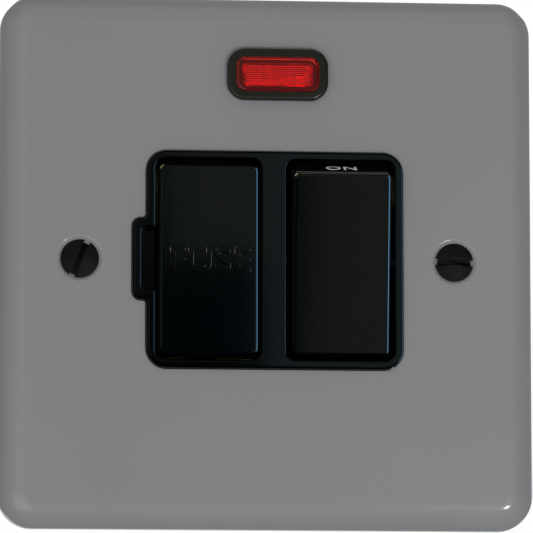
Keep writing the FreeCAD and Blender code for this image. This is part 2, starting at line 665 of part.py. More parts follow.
def plunger(x):
    tip_y = PIVOT_Y + PLUNGER_TIP
    dome_y = tip_y - PLUNGER_RADIUS
    dome = Part.makeSphere(PLUNGER_RADIUS, V(x, dome_y, 0))
    return tilted(joined([rod(PLUNGER_RADIUS, PIVOT_Y + PLUNGER_HEAD, dome_y, x), dome]))


def live_plunger():
    return plunger(LIVE_X)


def neutral_plunger():
    return plunger(NEUTRAL_X)


def plunger_spring(x):
    end_room = SPRING_WIRE_RADIUS + SPRING_END_GAP
    start_y = PIVOT_Y - TUBE_BORE_HEAD + end_room
    end_y = PIVOT_Y + PLUNGER_HEAD - end_room
    height = end_y - start_y
    helix = Part.makeHelix(height / SPRING_TURNS, height, SPRING_RADIUS)
    rise = height / SPRING_TURNS / (2 * math.pi * SPRING_RADIUS)
    section = Part.Wire(Part.makeCircle(SPRING_WIRE_RADIUS, V(SPRING_RADIUS, 0, 0), V(0, 1, rise)))
    wire = Part.Wire(helix).makePipeShell([section], True, True)
    wire.rotate(V(0, 0, 0), V(1, 0, 0), -90)
    wire.translate(V(x, start_y, 0))
    return tilted(wire)


def live_spring():
    return plunger_spring(LIVE_X)


def neutral_spring():
    return plunger_spring(NEUTRAL_X)


def contact_bar(x):
    half_width = BAR_WIDTH / 2
    bar_front_y = BAR_Y - BAR_THICK
    plate = rounded_slab(half_width, BAR_HALF_LENGTH, half_width / 2, bar_front_y, BAR_Y, x)
    cheek_front_y = bar_front_y - CHEEK_RISE
    cheek = [
        (BAR_Y, -CHEEK_HALF_LENGTH), (BAR_Y, CHEEK_HALF_LENGTH),
        (cheek_front_y, CHEEK_HALF_LENGTH - CHEEK_RISE), (cheek_front_y, CHEEK_RISE - CHEEK_HALF_LENGTH),
    ]
    cheeks = [
        slab_x(cheek, 0, start, start + CHEEK_THICK)
        for start in (x - half_width, x + half_width - CHEEK_THICK)
    ]
    button = rod(BUTTON_RADIUS, BAR_Y, BAR_Y + BUTTON_THICK, x, BUTTON_REACH)
    bar = joined([plate, button] + cheeks)
    bar.rotate(V(x, BAR_Y, 0), V(1, 0, 0), -BAR_THROW)
    return bar


def live_contact_bar():
    return contact_bar(LIVE_X)


def neutral_contact_bar():
    return contact_bar(NEUTRAL_X)


def strap_run(x0, z0, x1, z1):
    """Flat strip on the base's floor from one point to another, square at both ends."""
    half = STRAP_WIDTH / 2
    return block(min(x0, x1) - half, max(x0, x1) + half, STRAP_FRONT_Y, STRAP_BACK_Y,
                 min(z0, z1) - half, max(z0, z1) + half)


def strap_through(points):
    """Strip that turns square at each (x, z) point."""
    return [strap_run(*points[i], *points[i + 1]) for i in range(len(points) - 1)]


def terminal_eye(x, z):
    return rod(EYE_RADIUS, STRAP_FRONT_Y, STRAP_BACK_Y, x, z)


def eye_hole(x, z):
    return rod(CLAMP_HOLE_RADIUS, STRAP_FRONT_Y - SPARE, STRAP_BACK_Y + SPARE, x, z)


def fulcrum(x):
    """Tab bent up from the strap, with the round edge that a contact bar rocks on."""
    crest_y = BAR_Y + FULCRUM_GAP
    half = FULCRUM_THICK / 2
    outline = [(STRAP_BACK_Y, -half), (STRAP_BACK_Y, half), (crest_y, half), (crest_y, -half)]
    half_width = FULCRUM_WIDTH / 2
    return slab_x(outline, [0, 0, FULCRUM_ROUND, FULCRUM_ROUND], x - half_width, x + half_width)


def contact_rivet(x):
    """Fixed contact that the button of a tilted bar closes on."""
    throw = math.radians(BAR_THROW)
    button_back = BUTTON_REACH * math.sin(throw) + BUTTON_THICK * math.cos(throw)
    front_y = BAR_Y + button_back + BUTTON_RADIUS * math.sin(throw) + RIVET_GAP
    return rod(RIVET_RADIUS, front_y, STRAP_BACK_Y, x, BUTTON_REACH)


def fuse_clip(z):
    """Sprung U that grips one cap of the fuse, on a post from the strap."""
    inner = FUSE_CAP_RADIUS + CLIP_GAP
    outer = inner + CLIP_LEAF
    bottom_y = FUSE_Y + FUSE_CAP_RADIUS + CLIP_SEAT_GAP
    back_y = bottom_y + CLIP_LEAF
    flare_y = FUSE_Y - CLIP_LEG
    tip_y = flare_y - CLIP_FLARE
    half = CLIP_LENGTH / 2
    right_side = [(outer, back_y), (outer, flare_y), (outer + CLIP_SPREAD, tip_y),
                  (inner + CLIP_SPREAD, tip_y), (inner, flare_y), (inner, bottom_y)]
    left_side = [(-x, y) for x, y in reversed(right_side)]
    outline = [(FUSE_X + x, y) for x, y in right_side + left_side]
    radii = [CLIP_BEND, CLIP_BEND, 0, 0, CLIP_BEND, CLIP_BEND - CLIP_LEAF]
    leaf = slab_z(outline, radii + radii[::-1], z - half, z + half)
    post = block(FUSE_X - CLIP_POST_WIDTH / 2, FUSE_X + CLIP_POST_WIDTH / 2, back_y - CLIP_LEAF / 2,
                 STRAP_BACK_Y, z - STRAP_THICK / 2, z + STRAP_THICK / 2)
    return [leaf, post]


def clip_z():
    return FUSE_LENGTH / 2 - FUSE_CAP_LENGTH / 2


def supply_run_z():
    return -CHAMBER_HALF_HEIGHT + STRAP_WIDTH / 2 + TERMINAL_GAP


def link_z():
    return BUTTON_REACH - LINK_DROP


def fulcrum_end_z():
    return FULCRUM_THICK / 2 - STRAP_WIDTH / 2


def live_supply_strap():
    run_z = supply_run_z()
    points = [(-TERMINAL_X, -TERMINAL_Z), (-TERMINAL_X, run_z), (LIVE_X, run_z), (LIVE_X, fulcrum_end_z())]
    pieces = strap_through(points) + [terminal_eye(-TERMINAL_X, -TERMINAL_Z), fulcrum(LIVE_X)]
    return joined(pieces).cut(eye_hole(-TERMINAL_X, -TERMINAL_Z))


def fuse_feed_link():
    points = [(LIVE_X, BUTTON_REACH), (LIVE_X, link_z()), (FUSE_X, link_z()), (FUSE_X, -clip_z())]
    return joined(strap_through(points) + [contact_rivet(LIVE_X)] + fuse_clip(-clip_z()))


def load_live_clip():
    points = [(FUSE_X, clip_z()), (-TERMINAL_X, clip_z()), (-TERMINAL_X, TERMINAL_Z)]
    pieces = strap_through(points) + fuse_clip(clip_z()) + [terminal_eye(-TERMINAL_X, TERMINAL_Z)]
    return joined(pieces).cut(eye_hole(-TERMINAL_X, TERMINAL_Z))


def neutral_supply_strap():
    turn_z = supply_run_z() + STRAP_WIDTH
    points = [(TERMINAL_X, -TERMINAL_Z), (TERMINAL_X, turn_z), (NEUTRAL_X, turn_z),
              (NEUTRAL_X, fulcrum_end_z())]
    pieces = strap_through(points) + [terminal_eye(TERMINAL_X, -TERMINAL_Z), fulcrum(NEUTRAL_X)]
    return joined(pieces).cut(eye_hole(TERMINAL_X, -TERMINAL_Z))


def neutral_strap_z():
    return BARRIER_HALF_LENGTH + STRAP_WIDTH


def neutral_load_strap():
    turn_z = neutral_strap_z()
    points = [(NEUTRAL_X, BUTTON_REACH), (NEUTRAL_X, turn_z), (TERMINAL_X, turn_z),
              (TERMINAL_X, TERMINAL_Z)]
    lead_pad = strap_run(LEAD_X, turn_z, NEUTRAL_X, turn_z)
    eye = terminal_eye(TERMINAL_X, TERMINAL_Z)
    pieces = strap_through(points) + [lead_pad, contact_rivet(NEUTRAL_X), eye]
    return joined(pieces).cut(eye_hole(TERMINAL_X, TERMINAL_Z))


def fuse_body():
    length = FUSE_LENGTH - 2 * FUSE_CAP_END
    return Part.makeCylinder(FUSE_BODY_RADIUS, length, V(FUSE_X, FUSE_Y, -length / 2), V(0, 0, 1))


def fuse_caps():
    """Two drawn metal caps over the ends of the ceramic body."""
    half_length = FUSE_LENGTH / 2
    body_end = half_length - FUSE_CAP_END
    start = half_length - FUSE_CAP_LENGTH
    cap = Part.makeCylinder(FUSE_CAP_RADIUS, FUSE_CAP_LENGTH, V(FUSE_X, FUSE_Y, start), V(0, 0, 1))
    crown = [edge for edge in cap.Edges if edge.BoundBox.ZMin > half_length - TINY]
    cap = cap.makeFillet(FUSE_CAP_ROUND, crown)
    cap = cap.cut(Part.makeCylinder(FUSE_BODY_RADIUS, body_end, V(FUSE_X, FUSE_Y, 0), V(0, 0, 1)))
    lower = cap.mirror(V(FUSE_X, FUSE_Y, 0), V(0, 0, 1))
    return Part.makeCompound([cap, lower])


def fuse_carrier():
    face = rounded_slab(CARRIER_WIDTH / 2, CARRIER_HALF_HEIGHT, CARRIER_CORNER,
                        CARRIER_FRONT_Y, CARRIER_BACK_Y, FUSE_X)
    face = face.makeFillet(CARRIER_EDGE, edges_at(face, CARRIER_FRONT_Y))
    inside_y = CARRIER_BACK_Y - CARRIER_THICK / 2
    arm_left = FUSE_X - ARM_WIDTH / 2
    arm_right = FUSE_X + ARM_WIDTH / 2
    pieces = [face]
    for side in (-1, 1):
        arm = sorted([side * ARM_INNER_Z, side * ARM_OUTER_Z])
        lug = sorted([side * ARM_INNER_Z, side * LUG_TIP_Z])
        pieces.append(block(arm_left, arm_right, inside_y, ARM_END_Y, *arm))
        pieces.append(block(FUSE_X - LUG_WIDTH / 2, FUSE_X + LUG_WIDTH / 2, LUG_FRONT_Y, ARM_END_Y, *lug))
    pieces.append(block(FUSE_X - SADDLE_WIDTH / 2, FUSE_X + SADDLE_WIDTH / 2, inside_y,
                        FUSE_Y + SADDLE_WRAP, -SADDLE_HALF_LENGTH, SADDLE_HALF_LENGTH))
    fuse_way = Part.makeCylinder(FUSE_BODY_RADIUS + SADDLE_GAP, 2 * SADDLE_HALF_LENGTH + SPARE,
                                 V(FUSE_X, FUSE_Y, -SADDLE_HALF_LENGTH - SPARE / 2), V(0, 0, 1))
    carrier_left = FUSE_X - CARRIER_WIDTH / 2
    blade_notch = block(
        carrier_left - SPARE, carrier_left + BLADE_NOTCH_REACH,
        CARRIER_BACK_Y - BLADE_NOTCH_DEPTH, CARRIER_BACK_Y + SPARE,
        -BLADE_NOTCH_WIDTH / 2, BLADE_NOTCH_WIDTH / 2)
    return joined(pieces).cut([fuse_way, blade_notch])


def base_moulding():
    body = rounded_slab(BASE_HALF_WIDTH, BASE_HALF_HEIGHT, BASE_CORNER, FLANGE_BACK_Y, BASE_BACK_Y)
    body = body.makeFillet(BASE_EDGE, edges_at(body, BASE_BACK_Y))
    top = CHAMBER_HALF_HEIGHT
    front_y = FLANGE_BACK_Y - SPARE
    cuts = [
        block(-CHAMBER_HALF_WIDTH, PARTITION_LEFT_X, front_y, STRAP_BACK_Y, -top, top),
        block(PARTITION_RIGHT_X, CHAMBER_HALF_WIDTH, front_y, STRAP_BACK_Y, -top, top),
    ]
    for z in (supply_run_z(), link_z()):
        half = STRAP_WIDTH / 2 + BASE_NOTCH_GAP / 2
        cuts.append(block(PARTITION_LEFT_X - TINY, PARTITION_RIGHT_X + TINY,
                          STRAP_FRONT_Y - BASE_NOTCH_GAP, STRAP_BACK_Y, z - half, z + half))
    cuts += terminal_pockets() + centre_pockets() + end_wall_notches()
    body = body.cut(cuts)
    body = body.fuse([pole_barrier(), top_boss()]).removeSplitter()
    pillar_ways = [
        rod(PILLAR_HOLE_RADIUS, front_y, PILLAR_END_Y, 0, PILLAR_Z),
        rod(PILLAR_SCREW_HOLE_RADIUS, front_y, BASE_BACK_Y + SPARE, 0, PILLAR_Z),
        rod(PILLAR_HOLE_RADIUS, front_y, BASE_BACK_Y + SPARE, 0, -PILLAR_Z),
    ]
    return body.cut(pillar_ways)


def pole_barrier():
    """Wall between the live and the neutral contacts."""
    return block(ROCKER_X - BARRIER_THICK / 2, ROCKER_X + BARRIER_THICK / 2,
                 PIVOT_Y + TUBE_TAIL + BARRIER_FRONT_GAP, STRAP_BACK_Y,
                 -BARRIER_HALF_LENGTH, BARRIER_HALF_LENGTH)


def top_boss():
    """Post in the upper middle pocket that the screw of the upper pillar pulls on."""
    post = rod(BOSS_RADIUS, TERMINAL_FRONT_Y - TINY, STRAP_FRONT_Y, 0, PILLAR_Z)
    return post.common(block(-BOSS_RADIUS, BOSS_RADIUS, TERMINAL_FRONT_Y - TINY, STRAP_FRONT_Y,
                             POCKET_NEAR_Z - TINY, BASE_HALF_HEIGHT))


def terminal_pocket_half():
    return TERMINAL_WIDTH / 2 + TERMINAL_GAP * 2


def terminal_pockets():
    """Four places for terminals, open at the back and at the outer end."""
    half = terminal_pocket_half()
    pockets = []
    for x in (-TERMINAL_X, TERMINAL_X):
        for side in (-1, 1):
            z = sorted([side * POCKET_NEAR_Z, side * (BASE_HALF_HEIGHT + SPARE)])
            pockets.append(block(x - half, x + half, TERMINAL_FRONT_Y, BASE_BACK_Y + SPARE, *z))
    return pockets


def centre_pockets():
    """The earth bar's place at the bottom, and the room for the neon's leads at the top."""
    earth_half = EARTH_X + TERMINAL_WIDTH / 2 + TERMINAL_GAP * 2
    lead_half = LEAD_X + LEAD_RADIUS + LEAD_NOTCH_GAP
    far_z = BASE_HALF_HEIGHT + SPARE
    back_y = BASE_BACK_Y + SPARE
    return [
        block(-earth_half, earth_half, TERMINAL_FRONT_Y, back_y, -far_z, -POCKET_NEAR_Z),
        block(-lead_half, lead_half, TERMINAL_FRONT_Y, back_y, POCKET_NEAR_Z, far_z),
    ]


def end_wall_notches():
    """Ways through the end walls for the straps and for the neon's leads."""
    half = STRAP_WIDTH / 2 + BASE_NOTCH_GAP
    inner = CHAMBER_HALF_HEIGHT - TINY
    outer = POCKET_NEAR_Z + TINY
    notches = []
    for x in (-TERMINAL_X, TERMINAL_X):
        for low, high in ((-outer, -inner), (inner, outer)):
            notches.append(block(x - half, x + half, STRAP_FRONT_Y - BASE_NOTCH_GAP, STRAP_BACK_Y,
                                 low, high))
    lead_half = LEAD_RADIUS + LEAD_NOTCH_GAP
    for x in (-LEAD_X, LEAD_X):
        notches.append(block(x - lead_half, x + lead_half, LEAD_Y - lead_half, STRAP_BACK_Y,
                             inner, outer))
    return notches


def terminal_block(x, z):
    half_width = TERMINAL_WIDTH / 2
    half_length = TERMINAL_LENGTH / 2
    outline = rectangle(half_width, TERMINAL_DEPTH / 2, x, (TERMINAL_FRONT_Y + STRAP_FRONT_Y) / 2)
    body = slab_z(outline, TERMINAL_EDGE, z - half_length, z + half_length)
    wire_way = Part.makeCylinder(WIRE_BORE_RADIUS, TERMINAL_LENGTH + SPARE,
                                 V(x, WIRE_Y, z - half_length - SPARE / 2), V(0, 0, 1))
    screw_way = rod(CLAMP_HOLE_RADIUS, WIRE_Y, STRAP_FRONT_Y + SPARE, x, z)
    return body.cut([wire_way, screw_way])


def load_live_terminal():
    return terminal_block(-TERMINAL_X, TERMINAL_Z)


def load_neutral_terminal():
    return terminal_block(TERMINAL_X, TERMINAL_Z)


def supply_live_terminal():
    return terminal_block(-TERMINAL_X, -TERMINAL_Z)


def supply_neutral_terminal():
    return terminal_block(TERMINAL_X, -TERMINAL_Z)


def earth_bar():
    """Two earth terminals joined by a bridge that the lower pillar's screw pulls to the plate."""
    bridge = block(-EARTH_X, EARTH_X, PILLAR_END_Y, STRAP_FRONT_Y,
                   -TERMINAL_Z - EYE_RADIUS, -TERMINAL_Z + EYE_RADIUS)
    bridge = bridge.cut([rod(CLAMP_HOLE_RADIUS, WIRE_Y, STRAP_FRONT_Y + SPARE, x, -TERMINAL_Z)
                         for x in (-EARTH_X, EARTH_X)])
    blocks = [terminal_block(x, -TERMINAL_Z) for x in (-EARTH_X, EARTH_X)]
    bar = joined([bridge] + blocks)
    return bar.cut(rod(PILLAR_SCREW_HOLE_RADIUS, WIRE_Y, STRAP_FRONT_Y + SPARE, 0, -PILLAR_Z))


def clamp_screw(x, z, seat_y):
    shank_y = WIRE_Y + WIRE_BORE_RADIUS + 2 * TERMINAL_GAP
    head_y = seat_y + CLAMP_HEAD_THICK
    head = rod(CLAMP_HEAD_RADIUS, seat_y, head_y, x, z)
    head = head.makeFillet(CLAMP_HEAD_EDGE, edges_at(head, head_y))
    slot = block(x - CLAMP_HEAD_RADIUS, x + CLAMP_HEAD_RADIUS, head_y - CLAMP_SLOT_DEPTH, head_y,
                 z - CLAMP_SLOT / 2, z + CLAMP_SLOT / 2)
    return joined([head, rod(CLAMP_SHANK_RADIUS, shank_y, seat_y, x, z)]).cut(slot)


def terminal_screws():
    """Four screws through the straps' eyes and two in the earth bar."""
    corners = [(x, z) for x in (-TERMINAL_X, TERMINAL_X) for z in (-TERMINAL_Z, TERMINAL_Z)]
    screws = [clamp_screw(x, z, STRAP_BACK_Y) for x, z in corners]
    screws += [clamp_screw(x, -TERMINAL_Z, STRAP_FRONT_Y) for x in (-EARTH_X, EARTH_X)]
    return Part.makeCompound(screws)


def plate_pillars():
    """Two threaded posts fixed to the back of the plate."""
    pillars = []
    for z in (-PILLAR_Z, PILLAR_Z):
        bore = rod(PILLAR_SCREW_RADIUS + PILLAR_THREAD_GAP, PILLAR_END_Y - PILLAR_BORE_DEPTH,
                   PILLAR_END_Y + SPARE, 0, z)
        pillars.append(rod(PILLAR_RADIUS, BACK_Y, PILLAR_END_Y, 0, z).cut(bore))
    return Part.makeCompound(pillars)


def pillar_screws():
    screws = []
    head_y = STRAP_FRONT_Y + PILLAR_SCREW_HEAD_THICK
    for z in (-PILLAR_Z, PILLAR_Z):
        head = rod(PILLAR_SCREW_HEAD_RADIUS, STRAP_FRONT_Y, head_y, 0, z)
        head = head.makeFillet(PILLAR_SCREW_HEAD_ROUND, edges_at(head, head_y))
        shank = rod(PILLAR_SCREW_RADIUS, STRAP_FRONT_Y - PILLAR_SCREW_LENGTH, STRAP_FRONT_Y, 0, z)
        slot = block(-PILLAR_SCREW_HEAD_RADIUS, PILLAR_SCREW_HEAD_RADIUS,
                     head_y - PILLAR_SCREW_SLOT_DEPTH, head_y, z - CLAMP_SLOT / 2, z + CLAMP_SLOT / 2)
        screws.append(joined([head, shank]).cut(slot))
    return Part.makeCompound(screws)


def neon_slab(half_width, half_height, corner, y0, y1):
    return rounded_slab(half_width, half_height, corner, y0, y1, NEON_X, NEON_Z)


def neon_bezel():
    lip = neon_slab(BEZEL_WIDTH / 2, BEZEL_HEIGHT / 2, BEZEL_CORNER, BEZEL_FRONT_Y, FACE_Y)
    lip = lip.makeFillet(BEZEL_EDGE, edges_at(lip, BEZEL_FRONT_Y))
    neck = neon_slab(NECK_WIDTH / 2, NECK_HEIGHT / 2, NECK_CORNER, FACE_Y, CATCH_BACK_Y)
    catch = neon_slab(NECK_WIDTH / 2 + BEZEL_CATCH, NECK_HEIGHT / 2 + BEZEL_CATCH,
                      NECK_CORNER + BEZEL_CATCH, BACK_Y, CATCH_BACK_Y)
    window = neon_slab(LENS_WIDTH / 2 + LENS_GAP, LENS_HEIGHT / 2 + LENS_GAP, LENS_CORNER + LENS_GAP,
                       BEZEL_FRONT_Y - SPARE, CATCH_BACK_Y + SPARE)
    return joined([lip, neck, catch]).cut(window)


def neon_lens():
    """Ribbed window: a red box open at the back, with flutes on the inside of its front."""
    half_width = LENS_WIDTH / 2
    half_height = LENS_HEIGHT / 2
    body = neon_slab(half_width, half_height, LENS_CORNER, LENS_FRONT_Y, LENS_BACK_Y)
    body = body.makeFillet(LENS_EDGE, edges_at(body, LENS_FRONT_Y))
    collar = neon_slab(half_width + LENS_COLLAR, half_height + LENS_COLLAR, LENS_CORNER + LENS_COLLAR,
                       CATCH_BACK_Y, CATCH_BACK_Y + LENS_COLLAR_THICK)
    cavity_width = half_width - LENS_WALL
    cavity_height = half_height - LENS_WALL
    cavity = neon_slab(cavity_width, cavity_height, LENS_CORNER - LENS_WALL,
                       LENS_INNER_Y, LENS_BACK_Y + SPARE)
    flute_width = cavity_width - LENS_CORNER + LENS_WALL
    pitch = 2 * cavity_height / LENS_FLUTES
    flutes = []
    for index in range(1, LENS_FLUTES):
        z = NEON_Z - cavity_height + pitch * index
        groove = [(LENS_INNER_Y + TINY, z - pitch / 2), (LENS_INNER_Y + TINY, z + pitch / 2),
                  (LENS_INNER_Y - FLUTE_DEPTH, z)]
        flutes.append(slab_x(groove, 0, NEON_X - flute_width, NEON_X + flute_width))
    return joined([body, collar]).cut([cavity] + flutes)


def legs_to_plug(places):
    """Wire legs that end in the plug behind the lens, each from its (x, y, z) start."""
    return [rod(LEG_RADIUS, y, SPIGOT_Y, NEON_X + x, NEON_Z + z) for x, y, z in places]


def neon_lamp():
    half = LAMP_LENGTH / 2
    glass = axle(LAMP_RADIUS, NEON_X - half, NEON_X + half, LAMP_Y, NEON_Z)
    glass = glass.makeFillet(LAMP_ROUND, [edge for edge in glass.Edges if edge.BoundBox.XLength < TINY])
    foot = half - LAMP_RADIUS
    legs = legs_to_plug([(foot, LAMP_Y, z) for z in (-LAMP_RADIUS / 2, LAMP_RADIUS / 2)])
    return joined([glass] + legs)


def neon_resistor():
    half = RESISTOR_LENGTH / 2
    shift = -LAMP_RADIUS / 2
    centre = NEON_X + shift
    body = axle(RESISTOR_RADIUS, centre - half, centre + half, RESISTOR_Y, NEON_Z)
    body = body.makeFillet(RESISTOR_ROUND, [edge for edge in body.Edges if edge.BoundBox.XLength < TINY])
    leg_x = half - RESISTOR_RADIUS
    return joined([body] + legs_to_plug([(shift - leg_x, RESISTOR_Y, 0), (shift + leg_x, RESISTOR_Y, 0)]))


def neon_end_plug():
    cap = neon_slab(LENS_WIDTH / 2, LENS_HEIGHT / 2, LENS_CORNER, LENS_BACK_Y, PLUG_BACK_Y)
    spigot = neon_slab(LENS_WIDTH / 2 - LENS_WALL - LENS_GAP, LENS_HEIGHT / 2 - LENS_WALL - LENS_GAP,
                       LENS_CORNER - LENS_WALL, SPIGOT_Y, LENS_BACK_Y)
    return joined([cap, spigot])


def neon_lead(side):
    """Insulated wire from the plug, over the base's end wall, to the load strap of its pole."""
    start_x = NEON_X + side * LEAD_SPREAD / 2
    end_x = side * LEAD_X
    end_z = {-1: clip_z(), 1: neutral_strap_z()}[side]
    bend_z = PILLAR_Z - BOSS_WALL / 2
    points = [V(start_x, PLUG_BACK_Y, NEON_Z), V(start_x, LEAD_Y, NEON_Z),
              V(end_x, LEAD_Y, bend_z), V(end_x, LEAD_Y, end_z)]
    route = path(points, [0, LEAD_FIRST_BEND, LEAD_SECOND_BEND, 0], False)
    section = Part.Wire(Part.makeCircle(LEAD_RADIUS, points[0], V(0, 1, 0)))
    return route.makePipeShell([section], True, False)


def neon_leads():
    return Part.makeCompound([neon_lead(-1), neon_lead(1)])


PIECES = [
    front_plate, left_fixing_screw, right_fixing_screw, insert_frame, rocker,
    live_plunger, neutral_plunger, live_spring, neutral_spring,
    live_contact_bar, neutral_contact_bar, live_supply_strap, fuse_feed_link, load_live_clip,
    neutral_supply_strap, neutral_load_strap, fuse_body, fuse_caps, fuse_carrier,
    base_moulding, load_live_terminal, load_neutral_terminal, supply_live_terminal,
    supply_neutral_terminal, earth_bar, terminal_screws, plate_pillars, pillar_screws,
    neon_bezel, neon_lens, neon_lamp, neon_resistor, neon_end_plug, neon_leads,
]

os.makedirs("parts", exist_ok=True)
for make_piece in PIECES:
    make_piece().exportStep("parts/" + make_piece.__name__ + ".step")
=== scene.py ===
import bmesh
import bpy
import json
import math
from mathutils import Matrix, Vector


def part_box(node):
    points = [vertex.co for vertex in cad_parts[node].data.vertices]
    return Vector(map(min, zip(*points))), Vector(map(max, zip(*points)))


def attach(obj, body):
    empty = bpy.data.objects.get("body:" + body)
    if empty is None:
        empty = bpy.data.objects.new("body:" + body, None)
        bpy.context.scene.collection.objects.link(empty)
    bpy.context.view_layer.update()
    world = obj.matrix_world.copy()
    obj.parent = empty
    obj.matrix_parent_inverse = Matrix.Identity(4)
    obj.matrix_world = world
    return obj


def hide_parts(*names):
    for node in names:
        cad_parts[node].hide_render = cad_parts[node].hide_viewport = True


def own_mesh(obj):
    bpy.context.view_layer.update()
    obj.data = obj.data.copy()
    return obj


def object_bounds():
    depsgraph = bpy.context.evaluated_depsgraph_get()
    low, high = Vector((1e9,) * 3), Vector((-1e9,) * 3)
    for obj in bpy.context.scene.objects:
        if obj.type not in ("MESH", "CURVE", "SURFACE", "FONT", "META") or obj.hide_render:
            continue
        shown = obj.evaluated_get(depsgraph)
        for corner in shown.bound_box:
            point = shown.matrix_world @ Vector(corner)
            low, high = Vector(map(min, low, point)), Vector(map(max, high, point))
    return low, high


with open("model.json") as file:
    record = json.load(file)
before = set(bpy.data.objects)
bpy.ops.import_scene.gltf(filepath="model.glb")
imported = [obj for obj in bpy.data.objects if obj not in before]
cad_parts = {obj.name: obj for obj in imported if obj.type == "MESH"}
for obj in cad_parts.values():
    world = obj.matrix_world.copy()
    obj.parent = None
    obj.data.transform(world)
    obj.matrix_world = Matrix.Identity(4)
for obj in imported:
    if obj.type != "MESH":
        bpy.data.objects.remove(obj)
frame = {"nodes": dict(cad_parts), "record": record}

# Looks of the fused spur unit: finishes, lettering, screw threads, springs and a small studio.
# All lengths are in metres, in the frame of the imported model: X right, Y into the wall, Z up.
CAD_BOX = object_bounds()
NODES = frame["nodes"]
MM = 0.001
WHITE = (1.0, 1.0, 1.0, 1.0)

# Camera, in front of the plate, a little to the left and below
CAMERA_DISTANCE = 0.80
CAMERA_AZIMUTH = -5.0           # degrees to the right
CAMERA_ELEVATION = -7.5         # degrees up
CAMERA_TARGET = Vector((0.00006, -0.003, -0.00062))
CAMERA_NEAR = 0.01              # nothing nearer than this is shown
FIELD_WIDTH = 0.08575           # what the frame covers at the target
SENSOR_WIDTH = 36.0             # millimetres

# Lamps: name, degrees to the right, degrees up, distance, size, radiance, colour
SOFT = (0.98, 0.99, 1.0)
WARM = (1.0, 0.86, 0.5)
COOL = (0.3, 0.64, 1.0)
GENERAL_LAMPS = [
    ("key", 21.4, -19.0, 0.6, (0.018, 0.018), 1150.0, (1.0, 0.995, 0.98)),
    ("low_window", 15.0, -3.2, 0.76, (0.24, 0.026), 3.0, WHITE[:3]),
    ("side_fill", -50.0, -5.0, 0.9, (1.8, 1.8), 0.24, SOFT),
    ("top_fill", 0.0, 65.0, 1.0, (1.3, 0.8), 0.5, SOFT),
    ("low_fill", 30.0, -50.0, 0.8, (1.5, 1.0), 0.24, SOFT),
    ("front_fill", -28.0, -24.0, 1.0, (0.8, 0.8), 1.05, SOFT),
    ("back_fill", 165.0, 40.0, 1.2, (1.4, 1.0), 1.8, SOFT),
]
# The black mouldings' own lamps: what each lights, what stands in its way, and then as above
OWN_LAMPS = [
    ("carrier rocker", "carrier rocker insert", "warm_corner", -72.0, 50.0, 0.9, (0.7, 0.7), 5.5, WARM),
    ("rocker", "rocker insert", "warm_top", 5.0, 72.0, 0.8, (0.9, 0.25), 1.4, WARM),
    ("carrier rocker", "letters", "cool_window", 67.0, 6.0, 0.8, (0.36, 1.1), 7.4, COOL),
    ("insert", "insert", "cool_rim", 80.0, -4.0, 0.8, (0.45, 0.8), 2.6, COOL),
    ("letters", "letters", "letter_window", 74.0, 2.0, 0.8, (0.5, 0.7), 4.6, (0.62, 0.88, 0.87)),
    ("letters", "letters", "letter_spark", -52.0, 42.0, 0.8, (0.1, 0.1), 22.0, WHITE[:3]),
]

# Stage
AMBIENT = 0.3                   # the surroundings' strength as diffuse light; other rays see them at 1
PALE = (0.93, 0.93, 0.93, 1.0)
STAGE_GAP = 0.2 * MM            # between the part and the floor or the apron
SQUARE = ((-1, -1), (1, -1), (1, 1), (-1, 1))
FLOOR_HALF = 3.0
FLOOR_GLOW = 0.35               # lifts the floor towards white where the camera sees it
APRON_HALF = 0.5
APRON_GREY = (0.34, 0.34, 0.34, 1.0)
TENT_RADIUS = 1.9
TENT_SIDES = 96
TENT_HIGH = 1.3                 # above this height the tent also reaches over the back
TENT_BACK = 0.45                # how far it reaches back lower down
TENT_BLACK = (0.008, 0.014, 0.018, 1.0)
TENT_SIDE = (0.05, 0.05, 0.05, 1.0)
TENT_GREY = (0.2, 0.225, 0.21, 1.0)
TENT_COOL = (0.19, 0.28, 0.3, 1.0)
TENT_LOW = (0.2, 0.22, 0.19, 1.0)
TENT_LOW_EDGE = (5.2, 6.0)      # degrees across, where the lower band turns from black to TENT_LOW
TENT_WAVE = 0.6                 # degrees by which the wavy edge wanders
# The tent's bands, each laid over those before it: the angle that it follows, the degrees where it
# starts and where it is full, and its colour. The band with no colour is the lower one. The carrier's
# face mirrors 3.2 to 4.9 degrees across and 6 to 9 up, and the rocker's face mirrors 5 to 8 down.
TENT_BANDS = [
    ("wavy", 7.85, 8.15, TENT_GREY),
    ("across", 4.85, 5.05, TENT_COOL),
    ("across", 3.36, 3.28, TENT_BLACK),
    ("across", 2.85, 2.6, TENT_GREY),
    ("up", 9.3, 9.9, TENT_GREY),
    ("up", -1.0, -3.0, None),
    ("aside", 25.0, 45.0, TENT_SIDE),
    ("up", 25.0, 45.0, TENT_BLACK),
    ("up", -15.0, -25.0, TENT_BLACK),
]

